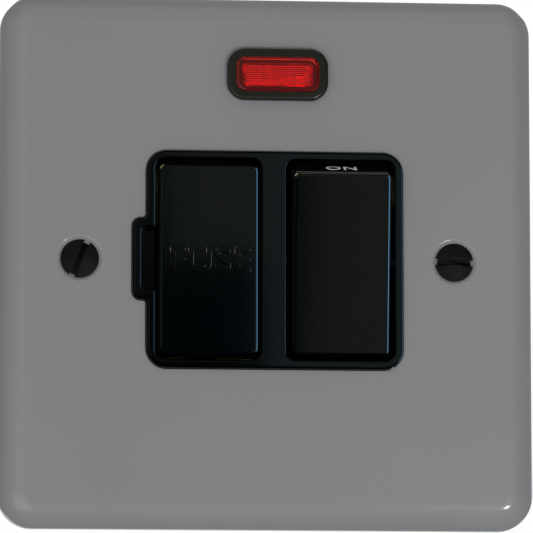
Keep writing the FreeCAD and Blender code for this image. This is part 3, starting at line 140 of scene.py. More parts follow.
# Colours: a pair is two tones that a surface wanders between
MOULDING_BLACK = (0.0005, 0.001, 0.0012, 1.0)
SURROUND_BLACK = (0.0095, 0.0085, 0.0055, 1.0)
BASE_BLACK = (0.02, 0.02, 0.021, 1.0)
CERAMIC = (0.78, 0.75, 0.67, 1.0)
NYLON = (0.76, 0.74, 0.68, 1.0)
INSULATION = (0.78, 0.77, 0.73, 1.0)
ENAMEL = ((0.223, 0.226, 0.232, 1.0), (0.238, 0.24, 0.245, 1.0))
SCREW_BLACK = ((0.003, 0.003, 0.0032, 1.0), (0.006, 0.006, 0.0062, 1.0))
LENS_FRONT = ((0.8, 0.014, 0.013, 1.0), (0.9, 0.02, 0.016, 1.0))
LENS_INSIDE = (0.99, 0.035, 0.025, 1.0)
BRASS = ((0.72, 0.52, 0.24, 1.0), (0.55, 0.38, 0.16, 1.0))
TIN = ((0.72, 0.7, 0.66, 1.0), (0.6, 0.58, 0.54, 1.0))
ZINC = ((0.66, 0.66, 0.63, 1.0), (0.5, 0.5, 0.47, 1.0))
STEEL = ((0.5, 0.5, 0.5, 1.0), (0.38, 0.37, 0.36, 1.0))
GLASS = ((0.95, 0.95, 0.94, 1.0), (0.85, 0.86, 0.85, 1.0))
INK = ((0.72, 0.71, 0.66, 1.0), (0.84, 0.83, 0.79, 1.0))
LACQUER = ((0.36, 0.23, 0.13, 1.0), (0.44, 0.3, 0.18, 1.0))
RUBBED_PLASTIC = (0.03, 0.031, 0.033, 1.0)
RUBBED_SCREW = (0.09, 0.088, 0.085, 1.0)
SCRATCHED = (0.035, 0.035, 0.036, 1.0)
DUST = (0.3, 0.29, 0.27, 1.0)
ENAMEL_DUST = (0.36, 0.35, 0.33, 1.0)

# Tones and roughness
MOULDING_TONE = 1.5             # black moulding's second tone, next to its first
PALE_TONE = 0.86                # pale plastic's second tone, next to its first
RUBBED_METAL = 1.25             # rubbed metal's tone, next to its first
TARNISH_RANGE = (0.35, 0.65)    # noise between which a metal goes from its first tone to its second
ROUGH_RANGE = (0.3, 0.7)        # noise between which the roughness goes from its least to its most
PLASTIC_SPREAD = (0.85, 1.15)   # least and most roughness, next to the value given
METAL_SPREAD = (0.8, 1.3)
ENAMEL_ROUGHNESS = (0.14, 0.2)
SCREW_ROUGHNESS = (0.5, 0.62)

# Resistor's colour bands: how far along its length the middle of each is, and its colour
RESISTOR_BANDS = [
    (0.2, (0.3, 0.02, 0.01, 1.0)),
    (0.36, (0.03, 0.03, 0.035, 1.0)),
    (0.52, (0.6, 0.45, 0.03, 1.0)),
    (0.8, (0.5, 0.34, 0.1, 1.0)),
]
RESISTOR_BAND_HALF = 0.045      # half a band's width, as a share of the length

# Wear and dust
DUST_SIZE = 0.1                 # a speck's radius, as a share of the cell that it lies in
DUST_SPREAD = 0.4               # specks run from 0.4 to 1.4 times that size
DUST_ROUGHNESS = 0.4            # added to the roughness where a speck lies
WEAR_TURN = (0.995, 0.9)        # cosine of how far an edge turns, where wear starts and is full
WEAR_PATCHES = (0.45, 0.62)     # noise between which a patch of wear fades in
SCRATCH_LINE = ((-6.0 * MM, 0.0, 9.6 * MM), (0.91, 0.0, 0.42), 2.4 * MM)    # start, direction, length
SCRATCH_DEPTH = 0.5             # share of the scratch's colour that shows

# Lens: places along Y between which its colour goes from the front's to the fuller one inside
LENS_FADE = (-6.9 * MM, -5.0 * MM)

# Lettering
SINK = 0.02 * MM                # how far an added piece reaches into what carries it
LETTER_SPACE = 1.08             # next to the font's own spacing
LETTER_STEPS = 8                # for each curve of a letter
BEVEL_STEPS = 2
FUSE_WIDTH = 13.0 * MM
FUSE_HEIGHT = 4.2 * MM
FUSE_SHIFT = Vector((0.3 * MM, 0.0, -0.18 * MM))
FUSE_RAISE = 0.3 * MM
FUSE_BEVEL = 0.12 * MM
ON_WIDTH = 4.95 * MM
ON_ARC = (13.6, 20.5)           # degrees forward of upright, from the letters' top to their foot
ON_RAISE = 0.015 * MM
ON_WEIGHT = 0.012               # added to each side of a stroke, as a share of the letters' height
ON_SLICES = 10                  # cuts that let the letters follow the curve

# Rocker, as in the part's source
ROCKER_PIVOT_Y = -1.3 * MM
ROCKER_SWING_RADIUS = 16.2 * MM
ROCKER_TILT = math.radians(7.0)

# Thread of the fixing screws
THREAD_START_Y = -2.9 * MM
THREAD_RADIUS = 1.75 * MM
THREAD_PITCH = 0.6 * MM
THREAD_DEPTH = 0.33 * MM
THREAD_STEPS = 28               # for each turn
CORE_SIDES = 48
TIP_LENGTH = 0.9 * MM
WELD_DISTANCE = 0.0005 * MM     # points nearer than this become one
SHARP_ANGLE = math.radians(35)


# Shader building

def feed(tree, socket, value):
    """Links a socket to another, or sets its value."""
    if isinstance(value, bpy.types.NodeSocket):
        tree.links.new(value, socket)
    else:
        socket.default_value = value


def put(tree, kind, sockets=None, **settings):
    """Adds a shader node with its settings and what its sockets take."""
    node = tree.nodes.new("ShaderNode" + kind)
    for name, value in settings.items():
        setattr(node, name, value)
    for name, value in (sockets or {}).items():
        feed(tree, node.inputs[name], value)
    return node


def maths(tree, operation, *values):
    """Result of a maths node."""
    node = put(tree, "Math", dict(enumerate(values)), operation=operation)
    return node.outputs["Value"]


def vector_maths(tree, operation, *values):
    """Outputs of a vector maths node: Vector or Value, depending on the operation."""
    return put(tree, "VectorMath", dict(enumerate(values)), operation=operation).outputs


def object_place(tree):
    """Point on the surface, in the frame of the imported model."""
    return put(tree, "TexCoord").outputs["Object"]


def noise(tree, scale, detail, roughness=0.5, place=None):
    """Smooth noise around 0.5."""
    sockets = {"Vector": place or object_place(tree), "Scale": scale,
               "Detail": detail, "Roughness": roughness}
    return put(tree, "TexNoise", sockets).outputs["Fac"]


def fade(tree, value, low, high, start=0.0, end=1.0):
    """Value's stretch from low to high, laid out from start to end and held past both."""
    sockets = {"Value": value, "From Min": low, "From Max": high, "To Min": start, "To Max": end}
    return put(tree, "MapRange", sockets, interpolation_type="SMOOTHSTEP").outputs["Result"]


def blend_colours(tree, mask, first, second):
    """First colour where the mask is 0, second where it is 1; the node's colour sockets are 6 and 7."""
    node = put(tree, "Mix", data_type="RGBA")
    for socket, value in ((0, mask), (6, first), (7, second)):
        feed(tree, node.inputs[socket], value)
    return node.outputs[2]


def blend_values(tree, mask, first, second):
    """First value where the mask is 0, second where it is 1; the node's value sockets are 2 and 3."""
    return put(tree, "Mix", {0: mask, 2: first, 3: second}).outputs[0]


def new_group(name, inputs, outputs):
    """Shader group whose inputs are {name: starting value} and whose outputs are numbers."""
    group = bpy.data.node_groups.new(name, "ShaderNodeTree")
    for label, value in inputs.items():
        kind = "NodeSocketVector" if isinstance(value, tuple) else "NodeSocketFloat"
        group.interface.new_socket(label, in_out="INPUT", socket_type=kind).default_value = value
    for label in outputs:
        group.interface.new_socket(label, in_out="OUTPUT", socket_type="NodeSocketFloat")
    return group, group.nodes.new("NodeGroupInput").outputs, group.nodes.new("NodeGroupOutput").inputs


def dust_group():
    """Few bright specks: one cell in many holds a speck, smaller than the cell."""
    group, given, out = new_group(
        "dust specks", {"Cells per metre": 700.0, "Share": 0.02, "Size": DUST_SIZE}, ["Mask"])
    cells = put(group, "TexVoronoi", {"Vector": object_place(group), "Scale": given["Cells per metre"]})
    parts = put(group, "SeparateColor", {"Color": cells.outputs["Color"]}).outputs
    picked = maths(group, "LESS_THAN", parts["Red"], given["Share"])
    size = maths(group, "MULTIPLY", given["Size"], maths(group, "ADD", parts["Green"], DUST_SPREAD))
    near = fade(group, cells.outputs["Distance"], size, 0.0)
    feed(group, out["Mask"], maths(group, "MULTIPLY", picked, near))
    return group


def wear_group():
    """Where an outer edge has been rubbed, broken up by noise."""
    group, given, out = new_group(
        "edge wear", {"Width": 0.3 * MM, "Amount": 0.5, "Patches": 900.0}, ["Mask"])
    rounded = put(group, "Bevel", {"Radius": given["Width"]}, samples=4).outputs["Normal"]
    plain = put(group, "NewGeometry").outputs["Normal"]
    edge = fade(group, vector_maths(group, "DOT_PRODUCT", rounded, plain)["Value"], *WEAR_TURN)
    patches = fade(group, noise(group, given["Patches"], detail=4.0), *WEAR_PATCHES)
    mask = maths(group, "MULTIPLY", edge, patches)
    feed(group, out["Mask"], maths(group, "MULTIPLY", mask, given["Amount"]))
    return group


def grain_group():
    """Fine unevenness of a moulded, painted or rolled surface, and slow changes of tone."""
    group, given, out = new_group(
        "surface grain", {"Fine": 2500.0, "Broad": 60.0, "Stretch": (1.0, 1.0, 1.0)}, ["Height", "Tone"])
    place = vector_maths(group, "MULTIPLY", object_place(group), given["Stretch"])["Vector"]
    feed(group, out["Height"], noise(group, given["Fine"], detail=3.0, roughness=0.55, place=place))
    feed(group, out["Tone"], noise(group, given["Broad"], detail=2.0, place=place))
    return group


def scratch_group():
    """One fine line on the front, from a start along a direction."""
    group, given, out = new_group(
        "scratch", {"Start": (0.0, 0.0, 0.0), "Direction": (1.0, 0.0, 0.0), "Length": 3.0 * MM,
                    "Width": 0.04 * MM}, ["Mask"])
    away = vector_maths(group, "SUBTRACT", object_place(group), given["Start"])["Vector"]
    flat = vector_maths(group, "MULTIPLY", away, (1.0, 0.0, 1.0))["Vector"]
    along = vector_maths(group, "DOT_PRODUCT", flat, given["Direction"])["Value"]
    square = vector_maths(group, "DOT_PRODUCT", flat, flat)["Value"]
    rest = maths(group, "SUBTRACT", square, maths(group, "MULTIPLY", along, along))
    aside = maths(group, "SQRT", maths(group, "ABSOLUTE", rest))
    past_start = maths(group, "GREATER_THAN", along, 0.0)
    before_end = maths(group, "LESS_THAN", along, given["Length"])
    inside = maths(group, "MULTIPLY", past_start, before_end)
    near = fade(group, aside, given["Width"], 0.0)
    feed(group, out["Mask"], maths(group, "MULTIPLY", inside, near))
    return group


GROUPS = {"dust": dust_group(), "wear": wear_group(), "grain": grain_group(), "scratch": scratch_group()}


def use_group(tree, name, **given):
    """Outputs of a shared group; an input's name has _ for each space."""
    node = tree.nodes.new("ShaderNodeGroup")
    node.node_tree = GROUPS[name]
    for label, value in given.items():
        feed(tree, node.inputs[label.replace("_", " ")], value)
    return node.outputs


# Finishes

def new_material(name):
    """New material and its tree."""
    material = bpy.data.materials.new(name)
    material.use_nodes = True
    return material, material.node_tree


def grained(name, fine, broad, **more):
    """New material, its tree, and the height and tone of its surface grain."""
    material, tree = new_material(name)
    return material, tree, use_group(tree, "grain", Fine=fine, Broad=broad, **more)


def set_finish(tree, colour, roughness, height=None, depth=0.0, **constants):
    """Feeds the main shader; constants are its other sockets, with _ for each space."""
    sockets = tree.nodes["Principled BSDF"].inputs
    feed(tree, sockets["Base Color"], colour)
    feed(tree, sockets["Roughness"], roughness)
    if height is not None:
        bump = put(tree, "Bump", {"Height": height, "Distance": depth})
        feed(tree, sockets["Normal"], bump.outputs["Normal"])
    for name, value in constants.items():
        sockets[name.replace("_", " ")].default_value = value


def scaled(colour, factor):
    """Colour made darker or paler."""
    return tuple(min(1.0, value * factor) for value in colour[:3]) + (1.0,)


def dust_mask(tree, share):
    """Where dust lies; share is how many cells hold a speck."""
    return use_group(tree, "dust", Share=share)["Mask"]


def dusty_roughness(tree, roughness, mask):
    """Roughness that is higher under the dust."""
    return maths(tree, "ADD", roughness, maths(tree, "MULTIPLY", mask, DUST_ROUGHNESS))


def uneven_roughness(tree, tone, roughness, spread):
    """Roughness that follows the surface's tone."""
    least, most = (roughness * factor for factor in spread)
    return fade(tree, tone, *ROUGH_RANGE, least, most)


def grey_enamel():
    """Gloss enamel on pressed steel, slightly uneven, with a few specks of dust."""
    material, tree, grain = grained("grey enamel", fine=1500.0, broad=45.0)
    colour = blend_colours(tree, grain["Tone"], *ENAMEL)
    colour = blend_colours(tree, dust_mask(tree, share=0.02), colour, ENAMEL_DUST)
    rough = blend_values(tree, grain["Tone"], *ENAMEL_ROUGHNESS)
    set_finish(tree, colour, rough, grain["Height"], depth=0.006 * MM)
    return material


def black_plastic(name, colour, roughness, fine, dust, scratches=(), gloss=0.5):
    """Moulded black plastic: fine grain, dust, rubbed edges and single scratches."""
    material, tree, grain = grained(name, fine, broad=120.0)
    tint = blend_colours(tree, grain["Tone"], colour, scaled(colour, MOULDING_TONE))
    tint = blend_colours(tree, use_group(tree, "wear", Amount=0.35)["Mask"], tint, RUBBED_PLASTIC)
    mask = dust_mask(tree, dust)
    tint = blend_colours(tree, mask, tint, DUST)
    for start, way, length in scratches:
        line = use_group(tree, "scratch", Start=start, Direction=way, Length=length)["Mask"]
        tint = blend_colours(tree, maths(tree, "MULTIPLY", line, SCRATCH_DEPTH), tint, SCRATCHED)
    least, most = (roughness * factor for factor in PLASTIC_SPREAD)
    rough = dusty_roughness(tree, blend_values(tree, grain["Tone"], least, most), mask)
    set_finish(tree, tint, rough, grain["Height"], depth=0.001 * MM, Specular_IOR_Level=gloss)
    return material


def red_lens():
    """Clear red plastic with its inner flutes showing through."""
    material, tree, grain = grained("red lens", fine=900.0, broad=200.0)
    depth = put(tree, "SeparateXYZ", {"Vector": object_place(tree)}).outputs["Y"]
    front = blend_colours(tree, grain["Tone"], *LENS_FRONT)
    colour = blend_colours(tree, fade(tree, depth, *LENS_FADE), front, LENS_INSIDE)
    mask = dust_mask(tree, share=0.03)
    colour = blend_colours(tree, mask, colour, DUST)
    rough = dusty_roughness(tree, roughness=0.03, mask=mask)
    set_finish(tree, colour, rough, Transmission_Weight=0.92, IOR=1.49)
    return material


def metal(name, tones, roughness, stretch=(1.0, 1.0, 1.0), wear=0.0):
    """Bare or plated metal with rolling marks, tarnish and brighter rubbed edges."""
    material, tree, grain = grained(name, fine=1800.0, broad=220.0, Stretch=stretch)
    colour = blend_colours(tree, fade(tree, grain["Tone"], *TARNISH_RANGE), *tones)
    if wear:
        rubbed = use_group(tree, "wear", Amount=wear)["Mask"]
        colour = blend_colours(tree, rubbed, colour, scaled(tones[0], RUBBED_METAL))
    rough = uneven_roughness(tree, grain["Tone"], roughness, METAL_SPREAD)
    set_finish(tree, colour, rough, grain["Height"], depth=0.006 * MM, Metallic=1.0)
    return material


def black_screw():
    """Blackened steel, rubbed a little at the edges of the slot."""
    material, tree, grain = grained("blackened screw", fine=3000.0, broad=500.0)
    colour = blend_colours(tree, grain["Tone"], *SCREW_BLACK)
    rubbed = use_group(tree, "wear", Width=0.2 * MM, Amount=0.3, Patches=1500.0)["Mask"]
    colour = blend_colours(tree, rubbed, colour, RUBBED_SCREW)
    colour = blend_colours(tree, dust_mask(tree, share=0.03), colour, DUST)
    rough = blend_values(tree, grain["Tone"], *SCREW_ROUGHNESS)
    set_finish(tree, colour, rough, grain["Height"], depth=0.008 * MM, Specular_IOR_Level=0.1)
    return material


def pale_plastic(name, colour, roughness):
    """Plain pale plastic, nylon or ceramic."""
    material, tree, grain = grained(name, fine=2200.0, broad=150.0)
    tint = blend_colours(tree, grain["Tone"], colour, scaled(colour, PALE_TONE))
    tint = blend_colours(tree, dust_mask(tree, share=0.01), tint, DUST)
    rough = uneven_roughness(tree, grain["Tone"], roughness, PLASTIC_SPREAD)
    set_finish(tree, tint, rough, grain["Height"], depth=0.005 * MM)
    return material


def lamp_glass():
    """Thin clear glass of the small discharge lamp."""
    material, tree, grain = grained("lamp glass", fine=700.0, broad=300.0)
    colour = blend_colours(tree, grain["Tone"], *GLASS)
    set_finish(tree, colour, roughness=0.04, Transmission_Weight=0.9, IOR=1.47)
    return material


def resistor_coat():
    """Brown lacquer with four colour bands across the body."""
    material, tree, grain = grained("resistor coat", fine=2500.0, broad=300.0)
    low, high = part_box("neon_resistor")
    length = high.x - low.x
    colour = blend_colours(tree, grain["Tone"], *LACQUER)
    across = put(tree, "SeparateXYZ", {"Vector": object_place(tree)}).outputs["X"]
    for share, tint in RESISTOR_BANDS:
        away = maths(tree, "ABSOLUTE", maths(tree, "SUBTRACT", across, low.x + share * length))
        inside = maths(tree, "LESS_THAN", away, RESISTOR_BAND_HALF * length)
        colour = blend_colours(tree, inside, colour, tint)
    set_finish(tree, colour, roughness=0.4)
    return material


def white_mark():
    """White function mark printed on the rocker."""
    material, tree, grain = grained("white mark", fine=6000.0, broad=900.0)
    set_finish(tree, blend_colours(tree, grain["Height"], *INK), roughness=0.45)
    return material


MATERIALS = {
    "grey_enamel": grey_enamel(),
    "black_moulding": black_plastic("black moulding", MOULDING_BLACK, roughness=0.045, fine=3500.0,
                                    dust=0.012, scratches=[SCRATCH_LINE]),
    "neon_surround": black_plastic("neon surround", SURROUND_BLACK, roughness=0.26, fine=3500.0,
                                   dust=0.012, gloss=0.3),
    "base_moulding": black_plastic("base moulding", BASE_BLACK, roughness=0.5, fine=1800.0, dust=0.02),
    "red_lens": red_lens(),
    "black_screw": black_screw(),
    "brass": metal("brass", BRASS, roughness=0.3, stretch=(1.0, 6.0, 1.0), wear=0.5),
    "tinned_clip": metal("tinned caps", TIN, roughness=0.24, wear=0.3),
    "zinc_screw": metal("zinc plated screw", ZINC, roughness=0.32, wear=0.5),
    "spring_steel": metal("spring steel", STEEL, roughness=0.28),
    "fuse_ceramic": pale_plastic("fuse ceramic", CERAMIC, roughness=0.35),
    "plunger_nylon": pale_plastic("plunger nylon", NYLON, roughness=0.42),
    "lead_insulation": pale_plastic("lead insulation", INSULATION, roughness=0.45),
    "lamp_glass": lamp_glass(),
    "resistor_coat": resistor_coat(),
    "white_mark": white_mark(),
}


def dress_nodes():
    """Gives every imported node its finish."""
    for part in frame["record"]["subparts"]:
        slots = NODES[part["node"]].data.materials
        slots.clear()
        slots.append(MATERIALS[part["material_slot"]])


# Pieces

def shown(name, mesh, coat, body):
    """Puts a finished mesh in the scene, riding on its body."""
    mesh.materials.clear()
    mesh.materials.append(MATERIALS[coat])
    piece = bpy.data.objects.new(name, mesh)
    bpy.context.scene.collection.objects.link(piece)
    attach(piece, body)
    return piece


def plain_mesh(source, name):
    """Evaluated copy of an object as a plain mesh; the object itself is removed."""
    graph = bpy.context.evaluated_depsgraph_get()
    mesh = bpy.data.meshes.new_from_object(source.evaluated_get(graph))
    mesh.name = name
    bpy.data.objects.remove(source)
    return mesh


def cut_level(shape, y, **options):
    """Cuts a whole bmesh across at one place along Y."""
    everything = shape.verts[:] + shape.edges[:] + shape.faces[:]
    bmesh.ops.bisect_plane(shape, geom=everything, plane_co=(0, y, 0), plane_no=(0, 1, 0), **options)


def word_mesh(words, width, height, raise_height, bevel=0.0, weight=0.0):
    """Flat lettering of an exact size, centred in X and Y, standing up along Z."""
    curve = bpy.data.curves.new(words, "FONT")
    curve.body = words
    curve.size = height
    curve.extrude = raise_height / 2 - bevel
    curve.bevel_depth = bevel
    curve.bevel_resolution = BEVEL_STEPS
    curve.offset = weight
    curve.space_character = LETTER_SPACE
    curve.resolution_u = LETTER_STEPS
    source = bpy.data.objects.new(words, curve)
    bpy.context.scene.collection.objects.link(source)
    mesh = plain_mesh(source, words)
    low = Vector(min(vertex.co[i] for vertex in mesh.vertices) for i in range(3))
    high = Vector(max(vertex.co[i] for vertex in mesh.vertices) for i in range(3))
    size = high - low
    mesh.transform(Matrix.Translation(-(low + high) / 2))
    mesh.transform(Matrix.Diagonal((width / size.x, height / size.y, raise_height / size.z, 1.0)))
    return mesh


def fuse_lettering():
    """The word FUSE raised on the carrier's face."""
    low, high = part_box("fuse_carrier")
    mesh = word_mesh("FUSE", FUSE_WIDTH, FUSE_HEIGHT, FUSE_RAISE + SINK, bevel=FUSE_BEVEL)
    middle = Vector(((low.x + high.x) / 2, low.y + (SINK - FUSE_RAISE) / 2, (low.z + high.z) / 2))
    mesh.transform(Matrix.Translation(middle + FUSE_SHIFT) @ Matrix.Rotation(math.pi / 2, 4, "X"))
    return shown("fuse_lettering", mesh, "black_moulding", "fuse_drawer")


def on_mark():
    """The word ON printed on the rocker's curved upper end."""
    top, foot = (math.radians(angle) for angle in ON_ARC)
    height = ROCKER_SWING_RADIUS * (foot - top)
    mesh = word_mesh("ON", ON_WIDTH, height, ON_RAISE + SINK, weight=ON_WEIGHT * height)
    shape = bmesh.new()
    shape.from_mesh(mesh)
    for step in range(1, ON_SLICES):
        cut_level(shape, height * (step / ON_SLICES - 0.5))
    shape.to_mesh(mesh)
    shape.free()
    low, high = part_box("rocker")
    middle_x = (low.x + high.x) / 2
    for vertex in mesh.vertices:
        angle = (top + foot) / 2 - vertex.co.y / ROCKER_SWING_RADIUS + ROCKER_TILT
        radius = ROCKER_SWING_RADIUS + vertex.co.z + (ON_RAISE - SINK) / 2
        vertex.co = Vector((middle_x + vertex.co.x, ROCKER_PIVOT_Y - radius * math.sin(angle),
                            radius * math.cos(angle)))
    return shown("on_mark", mesh, "white_mark", "rocker")


def thread_tree():
    """Geometry nodes that wind a sharp ridge round the Y axis."""
    tree = bpy.data.node_groups.new("screw thread", "GeometryNodeTree")
    for label in ("Turns", "Radius", "Length", "Depth"):
        tree.interface.new_socket(label, in_out="INPUT", socket_type="NodeSocketFloat")
    tree.interface.new_socket("Finish", in_out="INPUT", socket_type="NodeSocketMaterial")
    tree.interface.new_socket("Geometry", in_out="OUTPUT", socket_type="NodeSocketGeometry")
    given = tree.nodes.new("NodeGroupInput").outputs

    def add(kind, sockets, **settings):
        """Adds a geometry node and returns its outputs."""
        node = tree.nodes.new("GeometryNode" + kind)
        for name, value in settings.items():
            setattr(node, name, value)
        for name, value in sockets.items():
            feed(tree, node.inputs[name], value)
        return node.outputs

    winding = add("CurveSpiral", {"Resolution": THREAD_STEPS, "Rotations": given["Turns"],
                                  "Start Radius": given["Radius"], "End Radius": given["Radius"],
                                  "Height": given["Length"]})
    upright = add("SetCurveNormal", {"Curve": winding["Curve"]}, mode="Z_UP")
    ridge = add("CurvePrimitiveCircle", {"Resolution": 4, "Radius": given["Depth"]})
    wound = add("CurveToMesh", {"Curve": upright["Curve"], "Profile Curve": ridge["Curve"],
                                "Fill Caps": True})
    turned = add("Transform", {"Geometry": wound["Mesh"], "Rotation": (-math.pi / 2, 0.0, 0.0)})
    real = add("RealizeInstances", {"Geometry": turned["Geometry"]})
    coated = add("SetMaterial", {"Geometry": real["Geometry"], "Material": given["Finish"]})
    feed(tree, tree.nodes.new("NodeGroupOutput").inputs["Geometry"], coated["Geometry"])
    return tree


def grown(tree, name, **sizes):
    """Runs a geometry tree with the given sizes and returns a plain mesh."""
    source = bpy.data.objects.new(name, bpy.data.meshes.new(name))
    bpy.context.scene.collection.objects.link(source)
    modifier = source.modifiers.new(name, "NODES")
    modifier.node_group = tree
    for item in tree.interface.items_tree:
        if item.in_out == "INPUT" and item.name in sizes:
            modifier[item.identifier] = sizes[item.name]
    return plain_mesh(source, name)


def threaded_screw(side, tree):
    """A fixing screw with its own head and neck, and a rolled thread on its shank."""
    node = side + "_fixing_screw"
    low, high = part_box(node)
    x = (low.x + high.x) / 2
    shape = bmesh.new()
    shape.from_mesh(NODES[node].data)
    bmesh.ops.remove_doubles(shape, verts=shape.verts, dist=WELD_DISTANCE)
    cut_level(shape, THREAD_START_Y, clear_outer=True)
    rim = [edge for edge in shape.edges if edge.is_boundary]
    bmesh.ops.holes_fill(shape, edges=rim)
    core = THREAD_RADIUS - THREAD_DEPTH
    tip_y = high.y - TIP_LENGTH
    for start, end, radius, end_radius in ((THREAD_START_Y - SINK, tip_y, core, core),
                                           (tip_y, high.y, core, core - TIP_LENGTH / 2)):
        place = Matrix.Translation((x, (start + end) / 2, 0.0)) @ Matrix.Rotation(-math.pi / 2, 4, "X")
        bmesh.ops.create_cone(shape, cap_ends=True, segments=CORE_SIDES, radius1=radius,
                              radius2=end_radius, depth=end - start, matrix=place)
    ridge_start = THREAD_START_Y + THREAD_DEPTH
    length = tip_y - ridge_start
    ridge = grown(tree, "ridge", Turns=length / THREAD_PITCH, Radius=core, Length=length,
                  Depth=THREAD_DEPTH, Finish=MATERIALS["black_screw"])
    ridge.transform(Matrix.Translation((x, ridge_start, 0.0)))
    shape.from_mesh(ridge)
    bmesh.ops.recalc_face_normals(shape, faces=shape.faces)
    mesh = bpy.data.meshes.new(side + "_threaded_screw")
    shape.to_mesh(mesh)
    shape.free()
    mesh.polygons.foreach_set("use_smooth", [True] * len(mesh.polygons))
    mesh.set_sharp_from_angle(angle=SHARP_ANGLE)
    piece = shown(side + "_threaded_screw", mesh, "black_screw", "housing")
    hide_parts(node)


def coil_spring(side):
    """A plunger's spring, as a piece of its own that rides on the rocker."""
    node = side + "_spring"
    piece = shown(side + "_coil_spring", NODES[node].data.copy(), "spring_steel", "rocker")
    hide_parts(node)
    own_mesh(piece)


# Studio

def direction(azimuth, elevation):
    """Way out from the plate's middle, by degrees to the right and degrees up."""
    side = math.radians(azimuth)
    up = math.radians(elevation)
    return Vector((math.sin(side) * math.cos(up), -math.cos(side) * math.cos(up), math.sin(up)))


def aimed(obj, place, target):
    """Puts a lamp or camera in the scene, looking at the target."""
    obj.location = place
    obj.rotation_euler = (Vector(target) - Vector(place)).to_track_quat("-Z", "Y").to_euler()
    bpy.context.scene.collection.objects.link(obj)
    return obj


def camera():
    """The photo's camera."""
    data = bpy.data.cameras.new("camera")
    data.sensor_width = SENSOR_WIDTH
    data.lens = SENSOR_WIDTH * CAMERA_DISTANCE / FIELD_WIDTH
    data.clip_start = CAMERA_NEAR
    place = CAMERA_TARGET + direction(CAMERA_AZIMUTH, CAMERA_ELEVATION) * CAMERA_DISTANCE
    bpy.context.scene.camera = aimed(bpy.data.objects.new("camera", data), place, CAMERA_TARGET)


def lamp(name, azimuth, elevation, distance, size, radiance, colour):
    """Area lamp aimed at the plate from a direction in degrees."""
    data = bpy.data.lights.new(name, "AREA")
    data.shape = "RECTANGLE"
    data.size, data.size_y = size
    data.energy = radiance * math.pi * size[0] * size[1]
    data.color = colour
    place = direction(azimuth, elevation) * distance
    return aimed(bpy.data.objects.new(name, data), place, (0.0, 0.0, 0.0))


def chosen(name, pieces, state="INCLUDE"):
    """Collection that says which pieces a lamp keeps to, or leaves out."""
    group = bpy.data.collections.new(name)
    for piece in pieces:
        group.objects.link(piece)
    for entry in group.collection_objects:
        entry.light_linking.link_state = state
    return group


def lamps(letters):
    """Soft light from all sides; the black mouldings have lamps of their own, low over the plate."""
    mouldings = {"insert": NODES["insert_frame"], "carrier": NODES["fuse_carrier"],
                 "rocker": NODES["rocker"], "letters": letters}
    # The brass is left out too, so that it doesn't glint through the gaps beside the rocker
    brass = [NODES[part["node"]] for part in frame["record"]["subparts"]
             if part["material_slot"] == "brass"]
    left_out = list(mouldings.values()) + brass
    for measures in GENERAL_LAMPS:
        light = lamp(*measures)
        light.light_linking.receiver_collection = chosen(light.name, left_out, "EXCLUDE")
    for lit, shading, *measures in OWN_LAMPS:
        light = lamp(*measures)
        lit_pieces = [mouldings[key] for key in lit.split()]
        shading_pieces = [mouldings[key] for key in shading.split()]
        light.light_linking.receiver_collection = chosen(light.name, lit_pieces)
        light.light_linking.blocker_collection = chosen(light.name + " shades", shading_pieces)


def pale_surroundings():
    """Even light all round; straight, mirrored and refracted rays see white."""
    world = bpy.data.worlds.new("surroundings")
    bpy.context.scene.world = world
    world.use_nodes = True
    tree = world.node_tree
    rays = put(tree, "LightPath").outputs
    sharp = maths(tree, "MAXIMUM", rays["Is Glossy Ray"], rays["Is Transmission Ray"])
    seen = maths(tree, "MAXIMUM", rays["Is Camera Ray"], sharp)
    background = tree.nodes["Background"]
    feed(tree, background.inputs["Color"], WHITE)
    feed(tree, background.inputs["Strength"], blend_values(tree, seen, AMBIENT, 1.0))


def staged(name, mesh, material):
    """A stage object that neither lights the part nor stands in its light."""
    mesh.materials.append(material)
    prop = bpy.data.objects.new(name, mesh)
    bpy.context.scene.collection.objects.link(prop)
    prop.visible_diffuse = False
    prop.visible_shadow = False
    return prop


def only_mirrored(prop):
    """Hides a stage object from the camera and from rays through the lens."""
    prop.visible_camera = False
    prop.visible_transmission = False


def glowing(name):
    """Material with a plain glow: the material, its tree and the socket of the glow's colour."""
    material, tree = new_material(name)
    glow = put(tree, "Emission")
    feed(tree, tree.nodes["Material Output"].inputs["Surface"], glow.outputs["Emission"])
    return material, tree, glow.inputs["Color"]


def flat_mesh(name, points, faces):
    """Mesh of flat faces between points."""
    mesh = bpy.data.meshes.new(name)
    mesh.from_pydata(points, [], faces)
    return mesh


def floor():
    """Pale floor under the plate's lower edge, open to a camera below it."""
    material, tree = new_material("pale floor")
    set_finish(tree, PALE, roughness=0.9, Specular_IOR_Level=0.0, Emission_Color=PALE)
    shader = tree.nodes["Principled BSDF"]
    straight = put(tree, "LightPath").outputs["Is Camera Ray"]
    feed(tree, shader.inputs["Emission Strength"], maths(tree, "MULTIPLY", straight, FLOOR_GLOW))
    below = maths(tree, "MULTIPLY", put(tree, "NewGeometry").outputs["Backfacing"], straight)
    clear = put(tree, "BsdfTransparent").outputs["BSDF"]
    mixed = put(tree, "MixShader", {0: below, 1: shader.outputs["BSDF"], 2: clear})
    feed(tree, tree.nodes["Material Output"].inputs["Surface"], mixed.outputs["Shader"])
    points = [(x * FLOOR_HALF, y * FLOOR_HALF, CAD_BOX[0].z - STAGE_GAP) for x, y in SQUARE]
    ground = staged("floor", flat_mesh("floor", points, [(0, 1, 2, 3)]), material)
    ground.visible_glossy = False


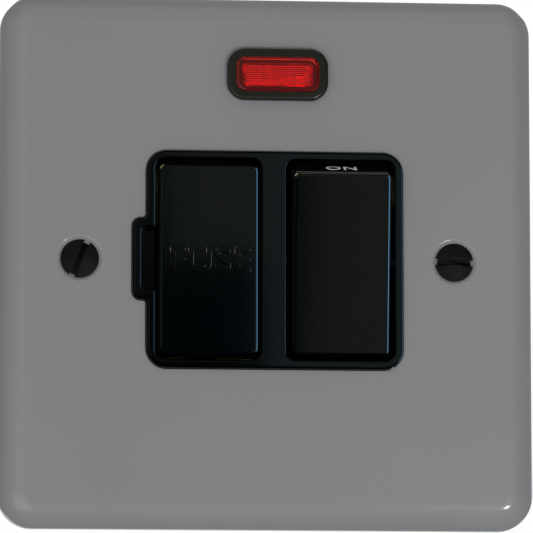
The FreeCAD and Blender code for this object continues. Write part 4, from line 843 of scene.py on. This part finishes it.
def tent():
    """What the glossy faces mirror in front of them: a dim tent, darker and cooler in places."""
    material, tree, glow_colour = glowing("tent")
    way = vector_maths(tree, "NORMALIZE", object_place(tree))["Vector"]
    parts = put(tree, "SeparateXYZ", {"Vector": way}).outputs
    to_degrees = 180.0 / math.pi
    up = maths(tree, "MULTIPLY", maths(tree, "ARCSINE", parts["Z"]), to_degrees)
    ahead = maths(tree, "MULTIPLY", parts["Y"], -1.0)
    across = maths(tree, "MULTIPLY", maths(tree, "ARCTAN2", parts["X"], ahead), to_degrees)
    wave = maths(tree, "MULTIPLY", noise(tree, scale=2.0, detail=1.0), TENT_WAVE)
    angles = {"up": up, "across": across, "wavy": maths(tree, "ADD", up, wave),
              "aside": maths(tree, "ABSOLUTE", across)}
    lower = blend_colours(tree, fade(tree, across, *TENT_LOW_EDGE), TENT_BLACK, TENT_LOW)
    colour = TENT_BLACK
    for angle, start, full, tint in TENT_BANDS:
        colour = blend_colours(tree, fade(tree, angles[angle], start, full), colour, tint or lower)
    feed(tree, glow_colour, colour)
    shape = bmesh.new()
    bmesh.ops.create_uvsphere(shape, u_segments=TENT_SIDES, v_segments=TENT_SIDES // 2,
                              radius=TENT_RADIUS)
    behind = [vertex for vertex in shape.verts
              if vertex.co.y > TENT_BACK and vertex.co.z < TENT_HIGH]
    bmesh.ops.delete(shape, geom=behind, context="VERTS")
    mesh = bpy.data.meshes.new("tent")
    shape.to_mesh(mesh)
    shape.free()
    only_mirrored(staged("tent", mesh, material))


def apron():
    """A flat grey frame round the plate, so that its rolled edges don't mirror the white behind."""
    material, tree, glow_colour = glowing("apron")
    feed(tree, glow_colour, APRON_GREY)
    inner = CAD_BOX[1].x + STAGE_GAP
    points = [(x * half, 0.0, z * half) for half in (inner, APRON_HALF) for x, z in SQUARE]
    faces = [(i, (i + 1) % 4, (i + 1) % 4 + 4, i + 4) for i in range(4)]
    only_mirrored(staged("apron", flat_mesh("apron", points, faces), material))


camera()
dress_nodes()
letters = fuse_lettering()
on_mark()
thread = thread_tree()
for side in ("left", "right"):
    threaded_screw(side, thread)
for side in ("live", "neutral"):
    coil_spring(side)
lamps(letters)
pale_surroundings()
floor()
tent()
apron()
bpy.context.scene.view_settings.view_transform = "Standard"
